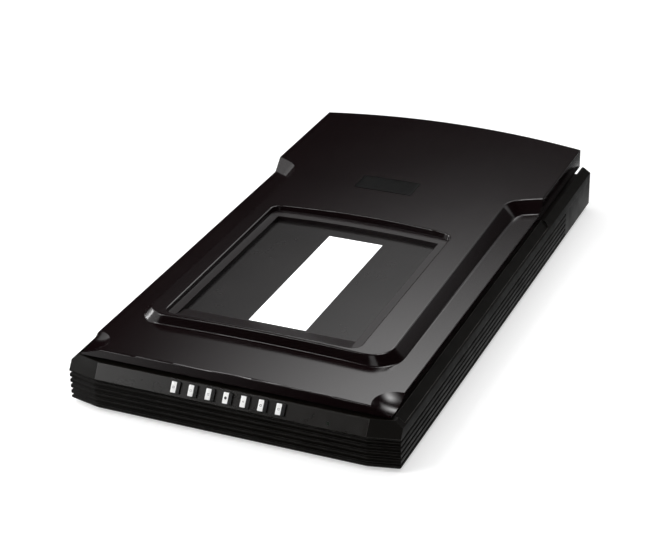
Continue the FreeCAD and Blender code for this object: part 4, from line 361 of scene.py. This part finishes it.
# %% [markdown]
# ## Worn edges and raised grain
#
# A moulding has no knife-sharp edges, and hands polish what they touch. The Bevel node
# gives the direction that a slightly rounded edge would have. Where that differs from
# the flat face, the finish is blended towards another colour: on most parts a rubbed
# one, and on the housing a pale one that paints the highlight lines of its ribs. It could
# be painted by hand, but this way every edge is found at its true width.


# %% Edges and grain
def soft_edges(tree, radius):
    """Direction of a rounded edge, and how far each spot is bent away from its flat face."""
    bevel = add_node(tree, "Bevel", samples=6)
    bevel.inputs["Radius"].default_value = radius
    flat = add_node(tree, "NewGeometry")
    dot = add_node(tree, "VectorMath", operation="DOT_PRODUCT")
    join(tree, bevel.outputs[0], dot.inputs[0])
    join(tree, flat.outputs["True Normal"], dot.inputs[1])
    return bevel.outputs[0], spread(tree, dot.outputs["Value"], 1.0, 0.0, 0.6, 0.98)


def raised(tree, pattern, depth, direction=None):
    """Bump from a pattern, depth in metres."""
    bump = add_node(tree, "Bump")
    bump.inputs["Distance"].default_value = depth
    join(tree, pattern, bump.inputs["Height"])
    if direction is not None:
        join(tree, direction, bump.inputs["Normal"])
    return bump.outputs[0]


# %% [markdown]
# ## Moulded plastic
#
# Most of the parts are moulded plastic, from matt housing to milky gears, and differ
# only in their numbers: two colours, a range of roughness, the size and depth of the
# grain, how wide an edge turns to another colour and to which. One recipe serves them
# all. The edge colour can also grow from left to right: on the housing's ribs that is a
# painted highlight, brighter towards the right end.


# %% Recipe for moulded plastic
def moulded(name, dark, light, rough, grain, depth, edge=0.4 * MM, worn=None,
            gloss=0.5, wear=0.5, rounded=True, highlight_across=None):
    """Cloudy colour, grained surface, edges in a second colour: wear, or a painted highlight on
    the housing.

    With rounded off, the grain keeps the flat face's direction up to the edge. The last
    argument gives two places in X between which the edge colour grows to its full
    amount; on the housing that growth is a painted highlight.
    gives two places in X between which the wear grows to its full amount.
    """
    finish, tree, shader, place = start_finish(name)
    direction, edges = soft_edges(tree, edge)
    tone = colour_mix(tree, spread(tree, cloud(tree, place, 45 * MM), 0, 1), dark, light)
    patchy = spread(tree, cloud(tree, place, 9 * MM, seed=3.0), 0.2, 1.0)
    edge_share = multiply(tree, multiply(tree, edges, patchy), wear)
    # Across X the edge colour grows from left to right: a painted highlight on the housing's rib
    # edges, brighter towards the right.
    if highlight_across is not None:
        apart = add_node(tree, "SeparateXYZ")
        join(tree, place, apart.inputs[0])
        edge_share = multiply(tree, edge_share, spread(tree, apart.outputs["X"], 0.15, 1, *highlight_across))
    join(tree, colour_mix(tree, edge_share, tone, worn or light), shader.inputs["Base Color"])
    uneven = spread(tree, cloud(tree, place, 12 * MM, seed=5.0), *rough)
    join(tree, uneven, shader.inputs["Roughness"])
    texture = cloud(tree, place, grain, detail=2.0, seed=7.0)
    grained = raised(tree, texture, depth, direction if rounded else None)
    join(tree, grained, shader.inputs["Normal"])
    shader.inputs["Specular IOR Level"].default_value = gloss
    return finish


def give(finish, *names):
    """Assign a finish to the parts of those names."""
    for name in names:
        for slot in parts[name].material_slots:
            slot.material = finish
        if not parts[name].material_slots:
            parts[name].data.materials.append(finish)


# %% [markdown]
# ## The housing's textured plastic
#
# The lower housing, the frame round the glass and the hinge posts are one fine-textured
# moulding material, nearly black with a brown cast. The grain is about a third of a
# millimetre and breaks the reflections up, so the walls look matt. The front band is
# the same plastic from a smoother mould, and shows a soft sheen.

# %% Housing plastic
# The pale edge colour, its high strength and its growth to the right are partly real wear and
# mostly a painted highlight along the rib edges, brighter towards the right.
housing_plastic = moulded(
    "housing_plastic", dark=(0.0020, 0.0016, 0.0011), light=(0.0038, 0.0031, 0.0023),
    rough=(0.42, 0.52), grain=0.35 * MM, depth=0.015 * MM, edge=0.5 * MM,
    worn=(0.2, 0.19, 0.18), gloss=0.1, wear=0.9, highlight_across=(-60 * MM, 110 * MM))
give(housing_plastic, "base_case", "top_bezel", "hinge_post_left", "hinge_post_right")
band_plastic = moulded(
    "band_plastic", dark=(0.0045, 0.0036, 0.0028), light=(0.008, 0.0067, 0.0054),
    rough=(0.25, 0.33), grain=0.4 * MM, depth=0.015 * MM, edge=0.35 * MM,
    worn=(0.04, 0.037, 0.035), gloss=0.5, wear=0.8)
give(band_plastic, "front_panel")
print("housing plastic on 5 parts")

# %% [markdown]
# ## The lid's satin plastic
#
# The lid is smoother than the housing: a satin skin that shows a broad, soft sheen
# running from the front right corner to the dark rear. Faint streaks from wiping
# make the sheen uneven, and the ridges are a little brighter where hands lift it. The
# stepped rim inside the tray was left matt by the mould, so it looks lighter than the
# skin beside it: a test on the place of each spot picks that rim out.


# %% Lid plastic
TRAY_LOW = (-93 * MM, -193 * MM, 50 * MM)
TRAY_HIGH = (84 * MM, 33 * MM, 59 * MM)
LID_DARK, LID_LIGHT = (0.0042, 0.0017, 0.0021), (0.0060, 0.0030, 0.0034)
LID_WORN, LID_WEAR = (0.02, 0.019, 0.019), 0.7
RIM_ROUGHNESS = 0.38


def number_mix(tree, share, first, second):
    """Blend two numbers by a pattern; the second is a plain number."""
    mix = add_node(tree, "Mix", data_type="FLOAT")
    join(tree, share, mix.inputs["Factor"])
    join(tree, first, mix.inputs[2])
    mix.inputs[3].default_value = second
    return mix.outputs[0]


def in_the_tray(tree, place):
    """1 inside the tray's stepped rim, below the lid's top, else 0."""
    apart = add_node(tree, "SeparateXYZ")
    join(tree, place, apart.inputs[0])
    inside = None
    for axis in range(3):
        for operation, limit in (("GREATER_THAN", TRAY_LOW[axis]), ("LESS_THAN", TRAY_HIGH[axis])):
            test = add_node(tree, "Math", operation=operation)
            test.inputs[1].default_value = limit
            join(tree, apart.outputs[axis], test.inputs[0])
            inside = test.outputs[0] if inside is None else multiply(tree, inside, test.outputs[0])
    return inside


def lid_finish():
    finish, tree, shader, place = start_finish("lid_plastic")
    edges = soft_edges(tree, 0.35 * MM)[1]
    tone = colour_mix(tree, spread(tree, cloud(tree, place, 70 * MM), 0, 1), LID_DARK, LID_LIGHT)
    patchy = spread(tree, cloud(tree, place, 11 * MM, seed=2.0), 0.3, 1)
    worn = multiply(tree, multiply(tree, edges, patchy), LID_WEAR)
    join(tree, colour_mix(tree, worn, tone, LID_WORN), shader.inputs["Base Color"])
    wiped = cloud(tree, stretched(tree, place, (1, 0.18, 1)), 3 * MM, detail=4.0, seed=4.0)
    satin = spread(tree, wiped, 0.152, 0.168)
    matt_rim = number_mix(tree, in_the_tray(tree, place), satin, RIM_ROUGHNESS)
    join(tree, matt_rim, shader.inputs["Roughness"])
    orange_peel = cloud(tree, place, 0.7 * MM, detail=2.0, seed=6.0)
    join(tree, raised(tree, orange_peel, 0.004 * MM), shader.inputs["Normal"])
    shader.inputs["Specular IOR Level"].default_value = 0.5
    return finish


give(lid_finish(), "lid_cover", "lid_frame")
tray_plastic = moulded(
    "tray_plastic", dark=(0.006, 0.005, 0.005), light=(0.010, 0.0085, 0.0085),
    rough=(0.26, 0.275), grain=0.3 * MM, depth=0.001 * MM, worn=(0.03, 0.03, 0.03), gloss=0.38,
    rounded=False)
give(tray_plastic, "tray_panel")
print("lid plastic on 3 parts")

# %% [markdown]
# ## Lit strip, film window and lamps
#
# Behind the tray's strip lie two thin lamp tubes and a clear guide, and the strip
# itself is opal plastic that spreads their light evenly. It is the brightest thing on
# the object: pure white in the middle and a touch greyer at its rim.


# %% Opal and lamp finishes
def opal(name, glow, box, rim):
    """Lit opal plastic that fades towards the rim of its rectangle."""
    finish, tree, shader, place = start_finish(name)
    low, high = box
    centre, half = (low + high) / 2, (high - low) / 2
    apart = add_node(tree, "SeparateXYZ")
    join(tree, place, apart.inputs[0])
    nearest = None
    for axis in (0, 1):
        off = add_node(tree, "Math", operation="SUBTRACT")
        off.inputs[1].default_value = centre[axis]
        size = add_node(tree, "Math", operation="ABSOLUTE")
        room = add_node(tree, "Math", operation="SUBTRACT")
        room.inputs[0].default_value = half[axis]
        join(tree, apart.outputs[axis], off.inputs[0])
        join(tree, off.outputs[0], size.inputs[0])
        join(tree, size.outputs[0], room.inputs[1])
        if nearest is None:
            nearest = room.outputs[0]
        else:
            least = add_node(tree, "Math", operation="MINIMUM")
            join(tree, nearest, least.inputs[0])
            join(tree, room.outputs[0], least.inputs[1])
            nearest = least.outputs[0]
    inward = spread(tree, nearest, 0, 1, 0, rim)
    speckle = spread(tree, cloud(tree, place, 0.8 * MM), 0.96, 1.0)
    tone = colour_mix(tree, inward, (0.45, 0.46, 0.48), (0.9, 0.9, 0.9))
    join(tree, tone, shader.inputs["Base Color"])
    lit = multiply(tree, multiply(tree, inward, speckle), glow)
    join(tree, lit, shader.inputs["Emission Strength"])
    shader.inputs["Emission Color"].default_value = (1, 1, 1, 1)
    join(tree, spread(tree, cloud(tree, place, 5 * MM), 0.35, 0.5), shader.inputs["Roughness"])
    grain = cloud(tree, place, 0.5 * MM, seed=1.0)
    join(tree, raised(tree, grain, 0.004 * MM), shader.inputs["Normal"])
    return finish


give(opal("lit_opal", 1.1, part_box("light_strip"), 0.9 * MM), "light_strip")
give(opal("window_opal", 0.75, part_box("film_window"), 1.2 * MM), "film_window")
lamp_white = moulded(
    "lamp_white", dark=(0.82, 0.83, 0.86), light=(0.9, 0.9, 0.92), rough=(0.1, 0.2),
    grain=0.6 * MM, depth=0.002 * MM, worn=(0.75, 0.76, 0.8))
give(lamp_white, "light_tubes", "scan_lamp")


def clear_sheet(name, tint, rough):
    """Glass or clear acrylic with faint smears."""
    finish, tree, shader, place = start_finish(name)
    smear = cloud(tree, stretched(tree, place, (1, 0.3, 1)), 30 * MM, detail=5.0)
    join(tree, spread(tree, smear, *rough), shader.inputs["Roughness"])
    smeared = tuple(0.97 * part for part in tint)
    join(tree, colour_mix(tree, smear, tint, smeared), shader.inputs["Base Color"])
    waves = cloud(tree, place, 60 * MM, seed=2.0)
    join(tree, raised(tree, waves, 0.002 * MM), shader.inputs["Normal"])
    shader.inputs["Transmission Weight"].default_value = 1
    shader.inputs["IOR"].default_value = 1.5
    return finish


give(clear_sheet("platen_glass", (0.93, 0.98, 0.96), (0.0, 0.015)), "platen_glass")
give(clear_sheet("clear_acrylic", (0.95, 0.97, 0.99), (0.06, 0.14)), "light_guide")
print("opal, lamp and glass finishes done")

# %% [markdown]
# ## White, rubber and inner plastics
#
# Under the lid lies a white mat with a soft, slightly fibrous face. The feet, the lid's
# bumpers and the toothed belt are rubber. The carriage is a grey moulding, and the
# parts that slide on metal are the milky, slippery plastic used for small gears.

# %% Soft and inner finishes
mat_white = moulded(
    "mat_white", dark=(0.80, 0.80, 0.79), light=(0.84, 0.84, 0.83), rough=(0.7, 0.85),
    grain=0.5 * MM, depth=0.03 * MM, worn=(0.68, 0.68, 0.67), gloss=0.2)
give(mat_white, "document_mat", "calibration_strip")
white_plastic = moulded(
    "white_plastic", dark=(0.72, 0.72, 0.71), light=(0.8, 0.8, 0.78), rough=(0.3, 0.42),
    grain=0.3 * MM, depth=0.006 * MM, worn=(0.62, 0.62, 0.6))
give(white_plastic, "carriage_lock", "light_reflector")
rubber = moulded(
    "rubber", dark=(0.012, 0.012, 0.012), light=(0.024, 0.024, 0.024), rough=(0.75, 0.92),
    grain=0.25 * MM, depth=0.02 * MM, worn=(0.06, 0.06, 0.06), gloss=0.25)
give(rubber, "rubber_feet", "lid_bumpers")
inner_grey = moulded(
    "inner_grey", dark=(0.075, 0.076, 0.08), light=(0.11, 0.11, 0.115), rough=(0.45, 0.6),
    grain=0.3 * MM, depth=0.015 * MM, worn=(0.2, 0.2, 0.2), gloss=0.4)
give(inner_grey, "carriage_frame", "carriage_cover", "rod_clamps")
milky_plastic = moulded(
    "milky_plastic", dark=(0.62, 0.6, 0.54), light=(0.74, 0.72, 0.66), rough=(0.25, 0.38),
    grain=0.2 * MM, depth=0.004 * MM, worn=(0.5, 0.48, 0.42))
milky_plastic.node_tree.nodes["Principled BSDF"].inputs["Subsurface Weight"].default_value = 0.1
give(milky_plastic, "slide_rail", "rail_shoe", "belt_clamp", "drive_gear", "idler_pulley")
socket_plastic = moulded(
    "socket_plastic", dark=(0.01, 0.01, 0.01), light=(0.018, 0.018, 0.018), rough=(0.35, 0.5),
    grain=0.3 * MM, depth=0.008 * MM, worn=(0.06, 0.06, 0.06))
give(socket_plastic, "power_socket", "adapter_socket", "tact_switches", "lens_barrel")
key_plastic = moulded(
    "key_plastic", dark=(0.004, 0.004, 0.004), light=(0.008, 0.008, 0.008), rough=(0.25, 0.35),
    grain=0.25 * MM, depth=0.004 * MM, edge=0.3 * MM, worn=(0.03, 0.03, 0.03), gloss=0.4)
KEYS = ["button_%d" % number for number in range(1, 8)]
give(key_plastic, *KEYS)
indicator = moulded(
    "unlit_indicator", dark=(0.006, 0.008, 0.006), light=(0.012, 0.016, 0.012), rough=(0.15, 0.25),
    grain=0.4 * MM, depth=0.002 * MM, worn=(0.03, 0.035, 0.03))
give(indicator, "status_light")


def belt_finish():
    """Toothed rubber belt: ribs two millimetres apart across its run."""
    finish, tree, shader, place = start_finish("belt_rubber")
    apart = add_node(tree, "SeparateXYZ")
    join(tree, place, apart.inputs[0])
    teeth = add_node(tree, "Math", operation="SINE")
    join(tree, multiply(tree, apart.outputs[1], math.tau / (2 * MM)), teeth.inputs[0])
    height = spread(tree, teeth.outputs[0], 0, 1, -0.4, 0.4)
    dust = cloud(tree, place, 4 * MM)
    tone = colour_mix(tree, dust, (0.01, 0.01, 0.01), (0.03, 0.029, 0.028))
    join(tree, tone, shader.inputs["Base Color"])
    join(tree, spread(tree, dust, 0.6, 0.85), shader.inputs["Roughness"])
    join(tree, raised(tree, height, 0.3 * MM), shader.inputs["Normal"])
    return finish


give(belt_finish(), "drive_belt")
print("soft and inner finishes done")

# %% [markdown]
# ## Metals
#
# Ground steel carries fine lines along the rod, plated sheet is cloudy and faintly
# yellow and blue, turned brass has rings, and the optics' mirrors are bright with a
# little dust. Each metal takes its character from a stretched or mottled pattern.


# %% Metal finishes
def metal(name, dark, light, rough, stretch, patch, depth, edge=0.3 * MM):
    """Metal with lines or clouds from a stretched pattern."""
    finish, tree, shader, place = start_finish(name)
    direction, edges = soft_edges(tree, edge)
    lines = cloud(tree, stretched(tree, place, stretch), patch, detail=4.0)
    stain = spread(tree, cloud(tree, place, 14 * MM, seed=8.0), 0, 1)
    tone = colour_mix(tree, stain, dark, light)
    edge_share = multiply(tree, edges, 0.5)
    join(tree, colour_mix(tree, edge_share, tone, light), shader.inputs["Base Color"])
    join(tree, spread(tree, lines, *rough), shader.inputs["Roughness"])
    join(tree, raised(tree, lines, depth, direction), shader.inputs["Normal"])
    shader.inputs["Metallic"].default_value = 1
    return finish


give(metal("ground_steel", (0.55, 0.55, 0.56), (0.72, 0.72, 0.73), (0.12, 0.28), (1, 0.04, 1),
           0.4 * MM, 0.003 * MM), "guide_rod", "gear_axle", "tension_spring", "hinge_pins")
give(metal("plated_sheet", (0.5, 0.5, 0.46), (0.62, 0.63, 0.66), (0.3, 0.45), (1, 1, 1),
           3 * MM, 0.004 * MM), "motor_plate", "stepper_motor", "idler_bracket", "hinge_brackets",
     "case_screws", "lid_screws")
give(metal("socket_shell", (0.52, 0.52, 0.53), (0.66, 0.66, 0.67), (0.2, 0.32), (0.1, 1, 1),
           0.5 * MM, 0.002 * MM), "data_socket")
give(metal("turned_brass", (0.62, 0.42, 0.16), (0.74, 0.55, 0.26), (0.2, 0.34), (1, 12, 1),
           4 * MM, 0.004 * MM), "rod_bushes", "motor_pinion")
give(metal("mirror", (0.82, 0.84, 0.85), (0.88, 0.9, 0.91), (0.02, 0.07), (1, 1, 1),
           8 * MM, 0.0005 * MM), "scan_mirrors", "lamp_reflector")
print("metals done")

# %% [markdown]
# ## Circuit boards
#
# A board is green lacquer over copper: fine tracks show as lighter lines, solder dots
# as small bright spots, and the black chips stand above the board's own level. One
# finish does all of that by height, so chips and board stay one part.


# %% Board finish
def board_finish(name, chip_axis, chip_level, above=1):
    """Green board with tracks and solder dots; black where it stands past the level."""
    finish, tree, shader, place = start_finish(name)
    apart = add_node(tree, "SeparateXYZ")
    join(tree, place, apart.inputs[0])
    past = add_node(tree, "Math", operation="GREATER_THAN" if above > 0 else "LESS_THAN")
    join(tree, apart.outputs[chip_axis], past.inputs[0])
    past.inputs[1].default_value = chip_level
    tracks = add_node(tree, "TexBrick")
    tracks.inputs["Scale"].default_value = 1 / (9 * MM)
    tracks.inputs["Mortar Size"].default_value = 0.03
    tracks.inputs["Color1"].default_value = (0.012, 0.085, 0.035, 1)
    tracks.inputs["Color2"].default_value = (0.01, 0.07, 0.03, 1)
    tracks.inputs["Mortar"].default_value = (0.03, 0.16, 0.07, 1)
    join(tree, place, tracks.inputs["Vector"])
    dots = add_node(tree, "TexVoronoi")
    dots.inputs["Scale"].default_value = 1 / (4 * MM)
    join(tree, place, dots.inputs["Vector"])
    solder = spread(tree, dots.outputs["Distance"], 1, 0, 0.12, 0.16)
    board = colour_mix(tree, solder, tracks.outputs["Color"], (0.55, 0.56, 0.55))
    chip = colour_mix(tree, cloud(tree, place, 2 * MM),
                      (0.008, 0.008, 0.008), (0.018, 0.018, 0.018))
    join(tree, colour_mix(tree, past.outputs[0], board, chip), shader.inputs["Base Color"])
    join(tree, spread(tree, cloud(tree, place, 6 * MM), 0.3, 0.45), shader.inputs["Roughness"])
    join(tree, raised(tree, tracks.outputs["Fac"], 0.03 * MM), shader.inputs["Normal"])
    return finish


BOARD_THICKNESS = 1.6 * MM
main_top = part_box("main_board")[0].z + BOARD_THICKNESS + 0.02 * MM
give(board_finish("main_board_lacquer", 2, main_top), "main_board")
lamp_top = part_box("inverter_board")[0].z + BOARD_THICKNESS
give(board_finish("lamp_board_lacquer", 2, lamp_top), "inverter_board")
give(board_finish("key_board_lacquer", 2, 1.0), "button_board")
sensor_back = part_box("sensor_board")[1].y - BOARD_THICKNESS
give(board_finish("sensor_board_lacquer", 1, sensor_back, above=-1), "sensor_board")
print("boards done")

# %% [markdown]
# ## White faces on the keys
#
# Every key is a black cap with a thin white plate on its left half. It could be painted
# on by a pattern, but the real one has a crisp edge that catches light, so it is a thin
# plate with small round corners. It is modelled flat at the origin; every copy gets its
# own mesh and is then tilted onto the slanted face of its key.

# %% White plate for a key
LABEL_SIZE = (4.5 * MM, 9.0 * MM)
LABEL_EDGE = 0.45 * MM
LABEL_THICK = 0.18 * MM
FACE_OUT = Vector((0, -0.8385, 0.5449)).normalized()
FACE_UP = Vector((0, 0.5449, 0.8385)).normalized()
FACE_TILT = math.atan2(-FACE_OUT.y, FACE_OUT.z)


def into_edit(select):
    bpy.ops.object.mode_set(mode="EDIT")
    bpy.ops.mesh.select_all(action=select)


def leave_edit():
    """Point every face outwards, then go back to object mode."""
    bpy.ops.mesh.select_all(action="SELECT")
    bpy.ops.mesh.remove_doubles(threshold=0.0001 * MM)
    bpy.ops.mesh.normals_make_consistent(inside=False)
    bpy.ops.object.mode_set(mode="OBJECT")


def apply_modifier(piece, kind, **values):
    """Add a modifier, set it up and apply it."""
    modifier = piece.modifiers.new(kind.lower(), kind)
    for name, value in values.items():
        setattr(modifier, name, value)
    bpy.ops.object.modifier_apply(modifier=modifier.name)


def raise_flat(piece, thickness, edge):
    """Turn a flat shape into a plate with softened edges."""
    into_edit("SELECT")
    bpy.ops.mesh.extrude_region_move(TRANSFORM_OT_translate={"value": (0, 0, thickness)})
    leave_edit()
    apply_modifier(piece, "BEVEL", width=edge, segments=2, limit_method="ANGLE")
    bpy.ops.object.shade_smooth_by_angle(angle=math.radians(35))


def put_on_key(pattern, name, key, above, finish):
    """Copy a flat plate onto a key's left end, at mid height and that far above its face."""
    corners = [vertex.co for vertex in parts[key].data.vertices]
    out = max(corner.dot(FACE_OUT) for corner in corners)
    face = [corner for corner in corners if out - corner.dot(FACE_OUT) < 0.05 * MM]
    heights = [corner.dot(FACE_UP) for corner in face]
    left = min(corner.x for corner in face)
    middle = (min(heights) + max(heights)) / 2
    copy = pattern.copy()
    copy.data = pattern.data.copy()
    copy.name = name
    bpy.context.scene.collection.objects.link(copy)
    clear_selection()
    copy.select_set(True)
    bpy.context.view_layer.objects.active = copy
    copy.rotation_euler = (FACE_TILT, 0, 0)
    centre = Vector((left + LABEL_SIZE[0] / 2, 0, 0))
    copy.location = centre + FACE_OUT * (out + above) + FACE_UP * middle
    bpy.ops.object.transform_apply(location=True, rotation=True, scale=True)
    copy.data.materials.clear()
    copy.data.materials.append(finish)
    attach(copy, key + "_key")
    return copy


clear_selection()
bpy.ops.mesh.primitive_plane_add(size=1, location=(0, 0, 0))
label = bpy.context.object
label.scale = (*LABEL_SIZE, 1)
bpy.ops.object.transform_apply(location=False, rotation=False, scale=True)
into_edit("SELECT")
bpy.ops.mesh.bevel(offset=LABEL_EDGE, segments=4, affect="VERTICES")
leave_edit()
raise_flat(label, LABEL_THICK, 0.07 * MM)
label_white = moulded(
    "label_white", dark=(0.84, 0.84, 0.83), light=(0.92, 0.92, 0.91), rough=(0.35, 0.45),
    grain=0.2 * MM, depth=0.003 * MM, edge=0.1 * MM, worn=(0.7, 0.7, 0.69), gloss=0.4)
print("label has", len(label.data.polygons), "faces")


# %% [markdown]
# ## Marks on the white plates
#
# On each plate is a small mark for what the key does. In the picture they are only
# specks, two of them darker, so they are plain shapes here: a ring, a frame, a triangle
# and a disc. Each is a circle primitive with few or many sides, hollowed by an inset
# where it needs a hole, and raised by the thickness of a print.


# %% Marks on the keys
def flat_mark(sides, radius, hole=0.0, turn=0.0):
    """Flat shape with that many sides, with a hole if it is a ring or a frame."""
    clear_selection()
    bpy.ops.mesh.primitive_circle_add(vertices=sides, radius=radius, fill_type="NGON",
                                      location=(0, 0, 0), rotation=(0, 0, turn))
    mark = bpy.context.object
    bpy.ops.object.transform_apply(location=False, rotation=True, scale=False)
    if hole:
        into_edit("SELECT")
        bpy.ops.mesh.inset(thickness=radius - hole)
        bpy.ops.mesh.delete(type="FACE")
        leave_edit()
    raise_flat(mark, 0.06 * MM, 0.015 * MM)
    return mark


EIGHTH_TURN = math.pi / 4
MARK_SINK = 0.01 * MM
DARK_MARKS = (4, 6)
frame_mark = flat_mark(4, 1.3 * MM, 0.85 * MM, EIGHTH_TURN)
ring_mark = flat_mark(24, 1.0 * MM, 0.65 * MM)
arrow_mark = flat_mark(3, 1.1 * MM)
disc_mark = flat_mark(20, 1.15 * MM)
marks = (frame_mark, ring_mark, frame_mark, disc_mark, arrow_mark, ring_mark, frame_mark)
mark_pale = moulded(
    "mark_pale", dark=(0.34, 0.34, 0.35), light=(0.42, 0.42, 0.43), rough=(0.4, 0.55),
    grain=0.2 * MM, depth=0.002 * MM, edge=0.05 * MM, worn=(0.6, 0.6, 0.6))
mark_dark = moulded(
    "mark_dark", dark=(0.03, 0.03, 0.03), light=(0.06, 0.06, 0.06), rough=(0.4, 0.55),
    grain=0.2 * MM, depth=0.002 * MM, edge=0.05 * MM, worn=(0.2, 0.2, 0.2))
for number, (key, mark) in enumerate(zip(KEYS, marks), 1):
    put_on_key(label, "key_label_%d" % number, key, 0, label_white)
    put_on_key(mark, "key_mark_%d" % number, key, LABEL_THICK - MARK_SINK,
               mark_dark if number in DARK_MARKS else mark_pale)
for pattern in (label, frame_mark, ring_mark, arrow_mark, disc_mark):
    bpy.data.objects.remove(pattern)
print("labels and marks on", len(KEYS), "keys")

# %% [markdown]
# ## Bare plate on the lid
#
# A small dark plate is set on the raised rear of the lid. It carries nothing here. The
# lid's top is crowned, so a flat plate would stand off it at the ends: a grid of small
# faces is dropped onto the lid by a Shrinkwrap instead, which bends it to the crown,
# and a Solidify then gives the thin sheet its thickness.

# %% Lid plate
PLATE_LEFT, PLATE_RIGHT = -38 * MM, 19 * MM
PLATE_FRONT, PLATE_REAR = 87.5 * MM, 114.5 * MM
clear_selection()
above_lid = ((PLATE_LEFT + PLATE_RIGHT) / 2, (PLATE_FRONT + PLATE_REAR) / 2, model_high.z + 5 * MM)
bpy.ops.mesh.primitive_grid_add(x_subdivisions=24, y_subdivisions=12, size=1, location=above_lid)
plate = bpy.context.object
plate.name = "lid_plate"
plate.scale = (PLATE_RIGHT - PLATE_LEFT, PLATE_REAR - PLATE_FRONT, 1)
bpy.ops.object.transform_apply(location=True, rotation=True, scale=True)
apply_modifier(plate, "SHRINKWRAP", target=parts["lid_cover"], wrap_method="PROJECT",
               offset=0.05 * MM, use_project_z=True, use_negative_direction=True,
               use_positive_direction=False)
apply_modifier(plate, "SOLIDIFY", thickness=0.35 * MM, offset=1)
apply_modifier(plate, "BEVEL", width=0.12 * MM, segments=2, limit_method="ANGLE")
bpy.ops.object.shade_smooth_by_angle(angle=math.radians(30))
plate_black = moulded(
    "plate_black", dark=(0.002, 0.002, 0.002), light=(0.004, 0.004, 0.004), rough=(0.3, 0.4),
    grain=0.3 * MM, depth=0.003 * MM, edge=0.2 * MM, worn=(0.02, 0.02, 0.02), gloss=0.06)
plate.data.materials.append(plate_black)
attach(plate, "lid")
print("plate lies at mm:", round(min(v.co.z for v in plate.data.vertices) / MM, 2))
